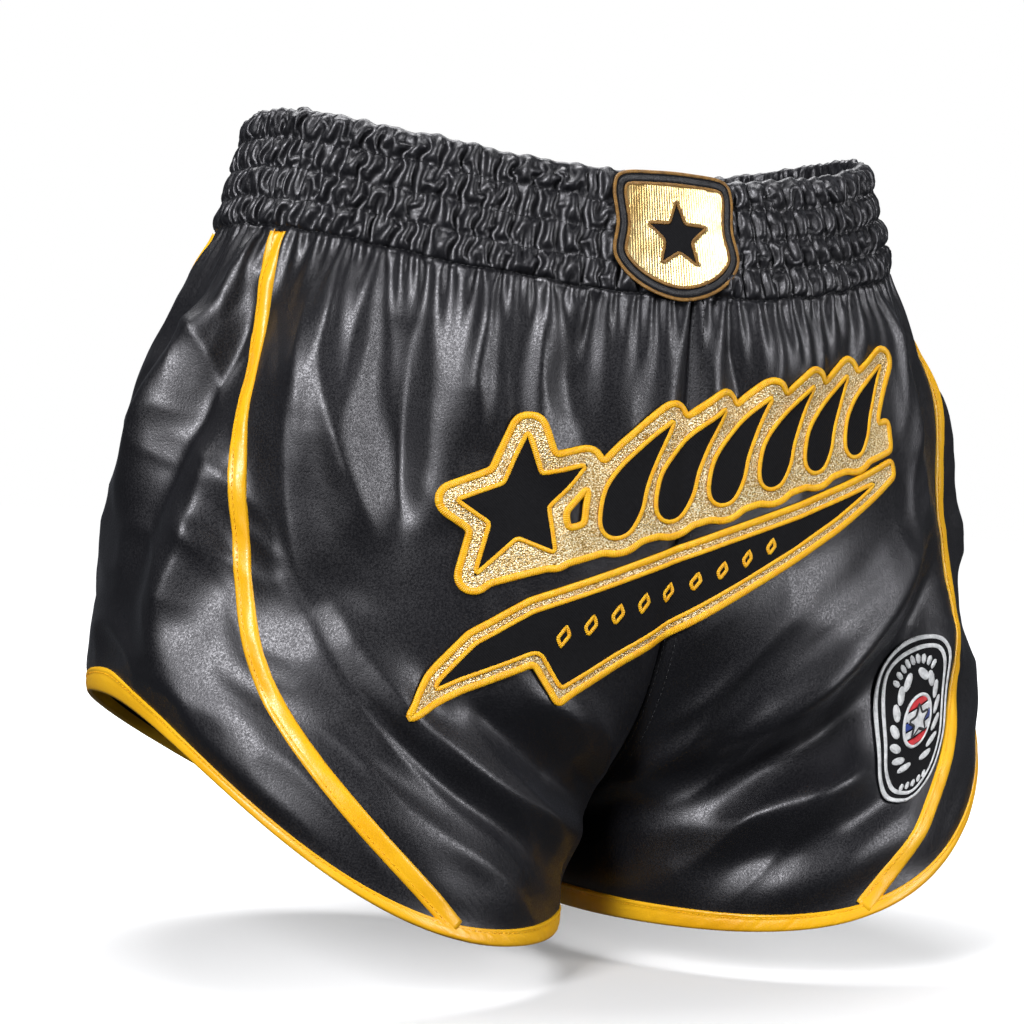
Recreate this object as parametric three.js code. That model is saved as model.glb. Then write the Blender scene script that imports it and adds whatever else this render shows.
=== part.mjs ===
// Retro-cut boxing shorts in the shape they take when worn: satin panels, a gathered waistband with four
// elastic rows, gold piping and hem bindings, and sewn-on appliques.
// Millimetres, +Z up. The origin is the centre of the waist opening, level with the waistband's top at the
// sides. +X is the wearer's left and the front faces -Y.
import * as THREE from 'three';
import { mergeVertices } from 'three/addons/utils/BufferGeometryUtils.js';

// ---- Driving dimensions ----
const BAND_HEIGHT = 50; // waistband, top to waist seam
const LENGTH = 350; // waistband top to the lowest hem
const TOP_HALF = { width: 146, depth: 112 }; // half axes of the waist opening
const SEAM_HALF = { width: 159, depth: 123 }; // half axes at the waist seam
const HIP_HALF = { width: 210, depth: 124 }; // half axes at the hem
const FRONT_DIP = 27; // how far the waistband drops at the centre front
const BACK_DIP = 14; // and at the centre back
const FLARE = 3.2; // how quickly the panels widen below the gathers
const CROTCH_AT = 0.85; // share of the drop from waist seam to hem where the legs part
const LEG_GAP_HALF = 8; // half the space between the legs at the hem
const HEM_RISE = 98; // how much higher the hem is at the side than at the inner leg
const HEM_SWEEP = { front: 3, back: 1.2 }; // how late that rise comes along the hem

const SATIN = 1.2; // panel thickness, seam allowances included
const TAPE = 0.9; // thickness of the piping and binding tape
const TAPE_WIDTH = 10;
const GAP = 1.2; // between two panels at a seam
const CLEAR = 0.7; // between cloth and the fold round it
const LIFT = 1.6; // between a panel and a piece sewn onto it
const ELASTIC = { rows: 4, thickness: 1.6, height: 9.4, pitch: 11.1, first: 1.8 };
const COVER = { wall: 1.0, slot: 3.0 }; // waistband cover: folded satin around the elastic

const FRONT_COLUMNS = 14; // faces across a front or back panel
const SIDE_COLUMNS = 16; // faces across a side panel
const RING_FACES = 60; // faces round the waistband
// Rows of faces down a panel, as shares of its drop. The first is the allowance inside the waistband, and
// the last face lies inside the hem binding.
const ROWS = [
  -0.007, 0.08, 0.17, 0.26, 0.35, 0.44, 0.53, 0.62, 0.7, 0.77, 0.83, 0.875, 0.91, 0.935, 0.955, 1,
];
// The front seam of the side panel as [share of drop, share of the way round]; the back seam mirrors it.
const SIDE_SEAM = [
  [-0.007, 0.4], [0.15, 0.379], [0.3, 0.351], [0.45, 0.337], [0.6, 0.331], [0.75, 0.331],
  [0.83, 0.328], [0.875, 0.32], [0.91, 0.303], [0.935, 0.277], [0.955, 0.235], [1, 0.235],
];

// ---- Materials ----
function cloth(color, roughness, metalness = 0) {
  return new THREE.MeshStandardMaterial({ color, roughness, metalness });
}
const MATERIALS = {
  satin: cloth(0x17171a, 0.4),
  gold: cloth(0xf2a900, 0.35),
  elastic: cloth(0xe8e6e0, 0.9),
  glitter: cloth(0xd9a441, 0.45, 0.4),
  twill: cloth(0x141416, 0.7),
  badge: cloth(0xd8b25a, 0.4, 0.3),
  patch: cloth(0xdfe0e2, 0.7),
  label: cloth(0xf2f2f0, 0.6),
};

// ---- The body of the shorts ----
// Value of a table of [at, value] pairs at a place, by straight lines between them.
function along(table, at) {
  const last = table.length - 1;
  const found = table.findIndex(([place], i) => i > 0 && at <= place);
  const i = found < 0 ? last : found;
  const [x0, y0] = table[i - 1];
  const [x1, y1] = table[i];
  return y0 + ((y1 - y0) * (at - x0)) / (x1 - x0);
}

// Point of one half's mid-surface. round: 0 at the centre front, 0.5 at the side, 1 at the centre back.
// drop: 0 at the waist seam, 1 at the hem. side: -1 for the wearer's right half, 1 for the left.
function bodyPoint(side, round, drop) {
  const turn = Math.PI * round;
  const toHem = Math.max(0, 1 - drop);
  const width = HIP_HALF.width - (HIP_HALF.width - SEAM_HALF.width) * toHem ** FLARE;
  const depth = HIP_HALF.depth - (HIP_HALF.depth - SEAM_HALF.depth) * toHem ** 3;
  const toCrotch = THREE.MathUtils.clamp(drop / CROTCH_AT, 0, 1);
  const belowCrotch = Math.max(0, (drop - CROTCH_AT) / (1 - CROTCH_AT));
  const legShare = 1 - (1 - toCrotch ** 4) ** (2 / 3); // 0: half of the hips, 1: a whole leg
  const inner = LEG_GAP_HALF * belowCrotch;
  const legMiddle = (width + inner) / 2;
  const legHalf = (width - inner) / 2;
  const x = (1 - legShare) * width * Math.sin(turn) + legShare * (legMiddle - legHalf * Math.cos(2 * turn));
  const y = -(1 - legShare) * depth * Math.cos(turn) - legShare * depth * Math.sin(2 * turn);
  const sweep = round < 0.5 ? HEM_SWEEP.front : HEM_SWEEP.back;
  const hem = -LENGTH + HEM_RISE * ((1 - Math.cos(2 * turn)) / 2) ** sweep;
  const dip = (round < 0.5 ? FRONT_DIP : BACK_DIP) * Math.cos(turn) ** 2 * (1 - toCrotch);
  return new THREE.Vector3(side * x, y, -BAND_HEIGHT + drop * (hem + BAND_HEIGHT) - dip);
}

// Outward normal of the body, and the lengths that one unit of round and of drop cover there.
function bodyFrame(side, round, drop) {
  const step = 0.002;
  const r = THREE.MathUtils.clamp(round, step, 1 - step);
  const across = bodyPoint(side, r + step, drop).sub(bodyPoint(side, r - step, drop)).divideScalar(2 * step);
  const down = bodyPoint(side, r, drop + step).sub(bodyPoint(side, r, drop - step)).divideScalar(2 * step);
  const normal = new THREE.Vector3().crossVectors(down, across).multiplyScalar(side).normalize();
  return { normal, across: across.length(), down: down.length() };
}

// Body point moved outwards. It stays on its own half, and in front of or behind the crotch point.
function bodyOffset(side, round, drop, out) {
  const point = bodyPoint(side, round, drop);
  point.addScaledVector(bodyFrame(side, round, drop).normal, out);
  point.x = side * Math.max(side * point.x, GAP / 2);
  if (round < 0.4) point.y = Math.min(point.y, -GAP / 2);
  if (round > 0.6) point.y = Math.max(point.y, GAP / 2);
  return point;
}

// Point of the waistband's mid-surface. angle: 0 at the wearer's left, -90 degrees at the front.
// below: distance under the top edge.
function bandPoint(angle, below, out = 0) {
  const share = below / BAND_HEIGHT;
  const width = THREE.MathUtils.lerp(TOP_HALF.width, SEAM_HALF.width, share) + out;
  const depth = THREE.MathUtils.lerp(TOP_HALF.depth, SEAM_HALF.depth, share) + out;
  const dip = (Math.sin(angle) < 0 ? FRONT_DIP : BACK_DIP) * Math.sin(angle) ** 2;
  return new THREE.Vector3(width * Math.cos(angle), depth * Math.sin(angle), -below - dip);
}

// The front of the body over a place in the front view: [round, drop] of the point with that x and z.
function frontPlace(x, z) {
  let round = 0.1;
  let drop = 0.4;
  for (let i = 0; i < 40; i++) {
    const point = bodyPoint(1, round, drop);
    round = THREE.MathUtils.clamp(round + (0.4 * (Math.abs(x) - point.x)) / 500, 0, 0.45);
    drop = THREE.MathUtils.clamp(drop - (0.8 * (z - point.z)) / 280, 0, 0.95);
  }
  return [round, drop];
}

// ---- Shapes ----
// Moves every vertex of a geometry, merges what coincides and makes the faces point outwards.
function bend(geometry, place) {
  geometry.deleteAttribute('normal');
  geometry.deleteAttribute('uv');
  const position = geometry.getAttribute('position');
  const point = new THREE.Vector3();
  for (let i = 0; i < position.count; i++) {
    position.setXYZ(i, ...place(point.fromBufferAttribute(position, i)).toArray());
  }
  const merged = mergeVertices(geometry, 1e-3);
  if (signedVolume(merged) < 0) merged.index.array.reverse();
  merged.computeVertexNormals();
  return merged;
}

function signedVolume(geometry) {
  const position = geometry.getAttribute('position');
  const corners = [new THREE.Vector3(), new THREE.Vector3(), new THREE.Vector3()];
  let sum = 0;
  for (let i = 0; i < geometry.index.count; i += 3) {
    corners.forEach((corner, k) => corner.fromBufferAttribute(position, geometry.index.getX(i + k)));
    sum += corners[0].dot(corners[1].clone().cross(corners[2])) / 6;
  }
  return sum;
}

// A sheet of faces columns x rows and one layer deep, bent by place(across, down, out), each from 0 to 1.
// Its inner faces are split along the same diagonals as the outer ones, so it keeps its thickness.
function sheet(columns, rows, place) {
  const flat = new THREE.BoxGeometry(1, 1, 1, columns, rows, 1);
  const index = flat.index.array;
  const inner = flat.groups[5];
  for (let i = inner.start; i < inner.start + inner.count; i += 6) {
    const [a, b, d, , c] = index.slice(i, i + 6);
    index.set([a, b, c, a, c, d], i);
  }
  return bend(flat, (p) => place(p.x + 0.5, p.y + 0.5, p.z + 0.5));
}

// A closed band with this section, as [out, below] corners, bent by place(step of steps, out, below).
function ring(section, steps, place) {
  const reach = 100; // keeps the section clear of the lathe's axis
  const profile = [...section, section[0]].map(([out, below]) => new THREE.Vector2(reach + out, below));
  return bend(new THREE.LatheGeometry(profile, steps), (p) => {
    const turned = Math.atan2(p.x, p.z) / (2 * Math.PI);
    const step = Math.round((turned + 1) * steps) % steps;
    return place(step, Math.hypot(p.x, p.z) - reach, p.y);
  });
}

// Section of cloth folded over an edge: two walls joined past the edge, at below = edge.
function foldSection(slot, wall, from, edge) {
  const inside = slot / 2;
  const outside = inside + wall;
  const fold = edge + Math.sign(edge - from) * wall;
  return [
    [inside, from], [inside, edge], [-inside, edge], [-inside, from],
    [-outside, from], [-outside, fold], [outside, fold], [outside, from],
  ];
}

// ---- Pieces ----
const shorts = new THREE.Group();

function add(name, geometry, material) {
  const mesh = new THREE.Mesh(geometry, MATERIALS[material]);
  mesh.name = name;
  shorts.add(mesh);
}

// Edge of the side panel on the front half (0) or back half (1) of the way round.
function sideSeam(drop, half) {
  const round = along(SIDE_SEAM, drop);
  return half === 0 ? round : 1 - round;
}

// A panel between two edges, each a function of drop giving its place round the body.
function panel(side, columns, from, to) {
  return sheet(columns, ROWS.length - 1, (across, down, out) => {
    const drop = ROWS[Math.round(down * (ROWS.length - 1))];
    const round = THREE.MathUtils.lerp(from(side, drop), to(side, drop), across);
    return bodyOffset(side, round, drop, (out - 0.5) * SATIN);
  });
}

// Share of the way round that crosses a width of cloth square to the side panel's slanting seam.
function seamShare(side, drop, half, width) {
  const frame = bodyFrame(side, sideSeam(drop, half), drop);
  const slope = (sideSeam(drop + 0.01, half) - sideSeam(drop - 0.01, half)) / 0.02;
  return (width * Math.hypot(1, (slope * frame.across) / frame.down)) / frame.across;
}

// Places round the body of the panels' edges, a little apart at each seam.
const centreFront = (side, drop) => GAP / 2 / bodyFrame(side, 0.01, drop).across;
const frontOfSeam = (side, drop) => sideSeam(drop, 0) - seamShare(side, drop, 0, GAP / 2);
const behindSeam = (side, drop) => sideSeam(drop, 0) + seamShare(side, drop, 0, GAP / 2);

function addPanels(side, word) {
  const onBack = (edge) => (s, drop) => 1 - edge(s, drop);
  add(`front_panel_${word}`, panel(side, FRONT_COLUMNS, centreFront, frontOfSeam), 'satin');
  add(`side_panel_${word}`, panel(side, SIDE_COLUMNS, behindSeam, onBack(behindSeam)), 'satin');
  add(`back_panel_${word}`, panel(side, FRONT_COLUMNS, onBack(frontOfSeam), onBack(centreFront)), 'satin');
}

// Folded gold tape round the leg opening, with the panels' hem edges inside its fold.
function addHemBinding(side, word) {
  const front = sideSeam(1, 0);
  const steps = 2 * FRONT_COLUMNS + SIDE_COLUMNS;
  const roundAt = (step) => {
    if (step <= FRONT_COLUMNS) return (front * step) / FRONT_COLUMNS;
    if (step >= FRONT_COLUMNS + SIDE_COLUMNS) return 1 - (front * (steps - step)) / FRONT_COLUMNS;
    return THREE.MathUtils.lerp(front, 1 - front, (step - FRONT_COLUMNS) / SIDE_COLUMNS);
  };
  const section = foldSection(SATIN + 2 * CLEAR, TAPE, TAPE_WIDTH, -CLEAR);
  const geometry = ring(section, steps, (step, out, above) => {
    const round = roundAt(step);
    const drop = 1 - above / bodyFrame(side, round, 0.99).down;
    const point = bodyPoint(side, round, drop);
    return point.addScaledVector(bodyFrame(side, round, 0.99).normal, out);
  });
  add(`hem_binding_${word}`, geometry, 'gold');
}

// Gold tape over one seam of a side panel, from the waist seam to the hem binding.
function addPiping(side, half, name) {
  const inner = SATIN / 2 + LIFT;
  const rows = ROWS.slice(1, -1);
  rows[0] = 0.012;
  const geometry = sheet(2, rows.length - 1, (across, down, out) => {
    const drop = rows[Math.round(down * (rows.length - 1))];
    const round = sideSeam(drop, half) + (across - 0.5) * seamShare(side, drop, half, TAPE_WIDTH);
    const bindingTop = 1 - (TAPE_WIDTH + 1) / bodyFrame(side, round, 0.99).down;
    return bodyOffset(side, round, Math.min(drop, bindingTop), inner + out * TAPE);
  });
  add(name, geometry, 'gold');
}

function addWaistband() {
  const bandRing = (section, steps) => ring(section, steps, (step, out, below) =>
    bandPoint((step * 2 * Math.PI) / steps, below, out));
  const cover = foldSection(COVER.slot, COVER.wall, BAND_HEIGHT, COVER.wall);
  add('waistband_cover', bandRing(cover, RING_FACES), 'satin');
  for (let row = 0; row < ELASTIC.rows; row++) {
    const top = ELASTIC.first + row * ELASTIC.pitch;
    const half = ELASTIC.thickness / 2;
    const bottom = top + ELASTIC.height;
    const section = [[half, top], [half, bottom], [-half, bottom], [-half, top]];
    add(`elastic_row_${row + 1}`, bandRing(section, RING_FACES), 'elastic');
  }
}

// A sewn-on layer on the front between a lower and an upper edge, each as a spline of [x, z] points.
function frontLayer(lower, upper, columns, rows, from, thickness) {
  const edge = (points) => new THREE.SplineCurve(points.map(([x, z]) => new THREE.Vector2(x, z)));
  const [low, high] = [edge(lower), edge(upper)];
  return sheet(columns, rows, (across, up, out) => {
    const spot = low.getPoint(across).lerp(high.getPoint(across), up);
    const [round, drop] = frontPlace(spot.x, spot.y);
    const point = bodyPoint(Math.sign(spot.x) || 1, round, drop);
    return point.setY(point.y - from - out * thickness);
  });
}

function addAppliques() {
  const onPanel = SATIN / 2 + LIFT;
  const felt = 0.8;
  const crestLower = [[-112, -201], [-60, -188], [0, -171], [60, -153], [121, -135]];
  const crestUpper = [[-99, -170], [-52, -137], [0, -134], [60, -118], [112, -98]];
  add('applique_crest', frontLayer(crestLower, crestUpper, 18, 4, onPanel, felt), 'glitter');
  const tailLower = [[-121, -255], [-62, -232], [-50, -248], [20, -209], [80, -175], [122, -150]];
  const tailUpper = [[-118, -250], [-88, -212], [-60, -196], [20, -172], [80, -154], [120, -141]];
  add('applique_tail', frontLayer(tailLower, tailUpper, 18, 4, onPanel, felt), 'twill');
}

// Shield-shaped patch on the wearer's left leg, on the front panel beside the piping.
function addLegPatch() {
  const centre = { round: 0.262, drop: 0.735 };
  const half = { width: 27, height: 42 };
  const frame = bodyFrame(1, centre.round, centre.drop);
  const geometry = sheet(6, 8, (across, down, out) => {
    const [s, t] = [2 * across - 1, 2 * down - 1];
    const x = half.width * s * Math.sqrt(1 - (t * t) / 2);
    const z = half.height * t * Math.sqrt(1 - (s * s) / 2);
    const round = centre.round + x / frame.across;
    return bodyOffset(1, round, centre.drop + z / frame.down, SATIN / 2 + LIFT + out);
  });
  add('leg_patch', geometry, 'patch');
}

// Pieces on the waistband: the badge outside the front, with its corners cut off, and the care label
// inside the back.
function addBandPieces() {
  const onBand = (middle, { width, height, below, corner }, from, thickness) =>
    sheet(6, 8, (across, down, out) => {
      const cut = Math.max(0, corner - height * Math.min(down, 1 - down));
      const angle = middle + ((across - 0.5) * (width - 2 * cut)) / SEAM_HALF.width;
      return bandPoint(angle, below + down * height, from + out * thickness);
    });
  const surface = COVER.slot / 2 + COVER.wall + CLEAR;
  const badge = { width: 58, height: 49, below: 0.5, corner: 12 };
  const label = { width: 36, height: 24, below: 14, corner: 0 };
  add('waist_badge', onBand(-Math.PI / 2 - 0.045, badge, surface, 1.2), 'badge');
  add('care_label', onBand(Math.PI / 2, label, -surface - 0.4, 0.4), 'label');
}

for (const [side, word] of [[-1, 'right'], [1, 'left']]) {
  addPanels(side, word);
  addHemBinding(side, word);
  addPiping(side, 0, `front_piping_${word}`);
  addPiping(side, 1, `back_piping_${word}`);
}
addWaistband();
addAppliques();
addLegPatch();
addBandPieces();

export default shorts;
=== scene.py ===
"""Looks for a pair of satin boxing shorts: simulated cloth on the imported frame, tapes, appliques and light.

Everything is in metres in the part's frame: +Z up, +X the wearer's left, -Y the front, and the origin at
the centre of the waist opening.
"""
import math

import bmesh
import bpy
import numpy as np
from mathutils import Matrix, Vector
from mathutils.bvhtree import BVHTree


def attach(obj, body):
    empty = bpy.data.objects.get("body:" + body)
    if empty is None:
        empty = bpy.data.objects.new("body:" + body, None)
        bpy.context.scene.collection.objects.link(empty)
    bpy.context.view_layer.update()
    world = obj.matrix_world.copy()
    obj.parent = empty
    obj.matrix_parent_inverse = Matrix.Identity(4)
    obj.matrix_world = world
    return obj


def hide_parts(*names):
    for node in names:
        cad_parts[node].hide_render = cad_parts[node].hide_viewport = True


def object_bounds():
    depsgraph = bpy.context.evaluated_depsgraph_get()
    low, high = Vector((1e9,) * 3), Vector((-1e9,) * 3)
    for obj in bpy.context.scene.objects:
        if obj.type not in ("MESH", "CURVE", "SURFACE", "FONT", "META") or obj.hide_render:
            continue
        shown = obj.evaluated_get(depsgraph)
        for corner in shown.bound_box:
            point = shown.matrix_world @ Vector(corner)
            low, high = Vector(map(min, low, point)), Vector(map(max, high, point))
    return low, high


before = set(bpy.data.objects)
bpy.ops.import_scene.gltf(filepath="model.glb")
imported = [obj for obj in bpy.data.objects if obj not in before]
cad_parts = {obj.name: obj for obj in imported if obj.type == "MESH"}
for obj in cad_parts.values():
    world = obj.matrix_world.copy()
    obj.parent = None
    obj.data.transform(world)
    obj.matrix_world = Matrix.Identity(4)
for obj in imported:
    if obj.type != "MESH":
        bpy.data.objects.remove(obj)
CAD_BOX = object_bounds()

MM = 0.001


# ---- Small helpers ----
def unit(v):
    return v / np.maximum(np.linalg.norm(v, axis=-1, keepdims=True), 1e-9)


def distances_along(path):
    """Each point's distance along a path from its first point."""
    return np.concatenate([[0], np.cumsum(np.linalg.norm(np.diff(path, axis=0), axis=-1))])


def read_at(at, length, values):
    """Values that go with these lengths along a path, read at other places along it."""
    return np.stack([np.interp(at, length, values[:, k]) for k in range(values.shape[1])], -1)


def smooth(values, times, closed=False, axis=0):
    """Binomial smoothing along an axis."""
    v = np.moveaxis(np.array(values, float), axis, 0)
    for _ in range(times):
        if closed:
            v = (np.roll(v, 1, 0) + 2 * v + np.roll(v, -1, 0)) / 4
        else:
            v[1:-1] = (v[:-2] + 2 * v[1:-1] + v[2:]) / 4
    return np.moveaxis(v, 0, axis)


def smooth_both(values, times, times_across=None):
    """The same along a grid's first two axes."""
    return smooth(smooth(values, times), times_across or times, axis=1)


# ---- The body's shape, as the part has it (millimetres) ----
BAND_HEIGHT = 50.0
LENGTH = 350.0
TOP_HALF = (146.0, 112.0)
SEAM_HALF = (159.0, 123.0)
HIP_HALF = (210.0, 124.0)
FRONT_DIP, BACK_DIP = 27.0, 14.0
FLARE = 3.2
CROTCH_AT = 0.85
LEG_GAP_HALF = 8.0
HEM_RISE = 98.0
HEM_SWEEP_FRONT, HEM_SWEEP_BACK = 3.0, 1.2
PIPING_WIDTH = 8.0
CREST_FROM, CREST_TO = (-110.0, -215.0), (118.0, -133.0)  # the applique's middle line, x and z
PATCH_AT = (0.262, 0.735)  # the leg patch's middle, share of the way round and drop
SIDE_SEAM = np.array([
    (-0.007, 0.4), (0.15, 0.379), (0.3, 0.351), (0.45, 0.337), (0.6, 0.331), (0.75, 0.331),
    (0.83, 0.328), (0.875, 0.32), (0.91, 0.303), (0.935, 0.277), (0.96, 0.245), (1.0, 0.225),
])


def body_point(side, turn_share, drop):
    """Mid-surface of one half. turn_share 0 is the centre front, 0.5 the side and 1 the centre back."""
    turn = np.pi * turn_share
    to_hem = np.maximum(0.0, 1 - drop)
    width = HIP_HALF[0] - (HIP_HALF[0] - SEAM_HALF[0]) * to_hem**FLARE
    depth = HIP_HALF[1] - (HIP_HALF[1] - SEAM_HALF[1]) * to_hem**3
    to_crotch = np.clip(drop / CROTCH_AT, 0, 1)
    below = np.maximum(0.0, (drop - CROTCH_AT) / (1 - CROTCH_AT))
    leg_share = 1 - (1 - to_crotch**4) ** (2 / 3)
    inner = LEG_GAP_HALF * below
    middle, half = (width + inner) / 2, (width - inner) / 2
    x = (1 - leg_share) * width * np.sin(turn) + leg_share * (middle - half * np.cos(2 * turn))
    y = -(1 - leg_share) * depth * np.cos(turn) - leg_share * depth * np.sin(2 * turn)
    sweep = np.where(turn_share < 0.5, HEM_SWEEP_FRONT, HEM_SWEEP_BACK)
    hem = -LENGTH + HEM_RISE * ((1 - np.cos(2 * turn)) / 2) ** sweep
    dip = np.where(turn_share < 0.5, FRONT_DIP, BACK_DIP) * np.cos(turn) ** 2 * (1 - to_crotch)
    return np.stack([side * x, y, -BAND_HEIGHT + drop * (hem + BAND_HEIGHT) - dip], -1)


def band_point(side, turn_share, below):
    """Mid-surface of the waistband. below is the distance under its top edge."""
    turn = np.pi * turn_share
    share = below / BAND_HEIGHT
    width = TOP_HALF[0] + (SEAM_HALF[0] - TOP_HALF[0]) * share
    depth = TOP_HALF[1] + (SEAM_HALF[1] - TOP_HALF[1]) * share
    dip = np.where(turn_share < 0.5, FRONT_DIP, BACK_DIP) * np.cos(turn) ** 2
    return np.stack([side * width * np.sin(turn), -depth * np.cos(turn), -below - dip], -1)


# ---- Camera ----
AZIMUTH, ELEVATION, ROLL = (math.radians(angle) for angle in (-27, 1.5, 2))
CAMERA_DISTANCE = 1.24
LENS, SENSOR = 94.7, 36
AIM_LEFT, AIM_UP = 0.0175, 0.0032  # how far the shorts' middle stands off the picture's


def add_camera():
    back = Vector((math.sin(AZIMUTH) * math.cos(ELEVATION),
                   -math.cos(AZIMUTH) * math.cos(ELEVATION), math.sin(ELEVATION)))
    right = Vector((math.cos(AZIMUTH), math.sin(AZIMUTH), 0))
    up = back.cross(right)
    middle = Vector((0, 0, -LENGTH * MM / 2))
    camera = bpy.data.objects.new("camera", bpy.data.cameras.new("camera"))
    bpy.context.collection.objects.link(camera)
    camera.location = middle + back * CAMERA_DISTANCE
    aim = middle - right * AIM_LEFT + up * AIM_UP
    look = (camera.location - aim).to_track_quat("Z", "Y").to_matrix().to_4x4()
    camera.matrix_world = Matrix.Translation(camera.location) @ look @ Matrix.Rotation(ROLL, 4, "Z")
    camera.data.lens = LENS
    camera.data.sensor_width = SENSOR
    bpy.context.scene.camera = camera


add_camera()

# ---- The cloth's grid ----
# Columns run down the cloth, and every seam is a column. Rows run round it: first the waistband, between
# its stitched lines, and then the panels down to the hem.
FRONT_COLUMNS, SIDE_COLUMNS = 144, 108
BAND_ROWS, BODY_ROWS = 40, 128
BAND_LINES = 4


def shares(coarse):
    """Row places: heights below the waistband's top, and drops from the waist seam."""
    band = np.linspace(0, BAND_HEIGHT, BAND_ROWS // coarse + 1)
    even = np.linspace(0, 1, BODY_ROWS // coarse + 1)[1:]
    drop = 0.55 * even + 0.45 * even**1.5
    return band, drop


def grid(coarse):
    """Base points of both halves, [side, column, row], and the drop of each column's points."""
    band, drop = shares(coarse)
    f, s = FRONT_COLUMNS // coarse, SIDE_COLUMNS // coarse

    def turn_shares(d):
        seam = np.interp(d, SIDE_SEAM[:, 0], SIDE_SEAM[:, 1])
        return np.concatenate([np.linspace(0, seam, f + 1)[:-1], np.linspace(seam, 1 - seam, s + 1)[:-1],
                               np.linspace(1 - seam, 1, f + 1)])

    over = np.stack([turn_shares(0.0)] * len(band), 1)
    under = np.stack([turn_shares(d) for d in drop], 1)
    drops = np.concatenate([0 * over, np.broadcast_to(drop, under.shape)], 1)
    points = []
    for side in (-1, 1):
        upper = band_point(side, over, band[None, :])
        lower = body_point(side, under, drop[None, :])
        # Away from the centre seams the body's bend at the crotch's height is eased out.
        free = (1 - np.exp(-(np.minimum(under, 1 - under) / 0.05) ** 2))[..., None]
        lower += free * (smooth(lower, 80 // coarse**2, axis=1) - lower)
        points.append(np.concatenate([upper, lower], 1))
    return np.stack(points), drops


def normals(points):
    """Outward unit normals of a [side, column, row] grid."""
    across = np.gradient(points, axis=1)
    down = np.gradient(points, axis=2)
    n = np.cross(down, across)
    n[0] *= -1
    return unit(n)


def upsample(values):
    """Doubles a [side, column, row, ...] grid's faces each way."""
    for axis in (1, 2):
        v = np.moveaxis(values, axis, 0)
        out = np.empty((2 * v.shape[0] - 1,) + v.shape[1:])
        out[::2] = v
        out[1::2] = (v[:-1] + v[1:]) / 2
        values = np.moveaxis(out, 0, axis)
    return values


def smooth_noise(shape, cells, rng):
    """Smooth noise from -1 to 1 over a 2-D grid with that many cells each way."""
    coarse = rng.uniform(-1, 1, (cells[0] + 3, cells[1] + 3))

    def weights(axis):
        t = np.linspace(1, cells[axis] + 1, shape[axis])
        i = np.minimum(t.astype(int), int(t.max()) - 1)
        f = t - i
        return i, f * f * (3 - 2 * f)

    i, f = weights(0)
    j, g = weights(1)
    low = coarse[i][:, j] * (1 - g) + coarse[i][:, j + 1] * g
    high = coarse[i + 1][:, j] * (1 - g) + coarse[i + 1][:, j + 1] * g
    return low * (1 - f[:, None]) + high * f[:, None]


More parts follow.
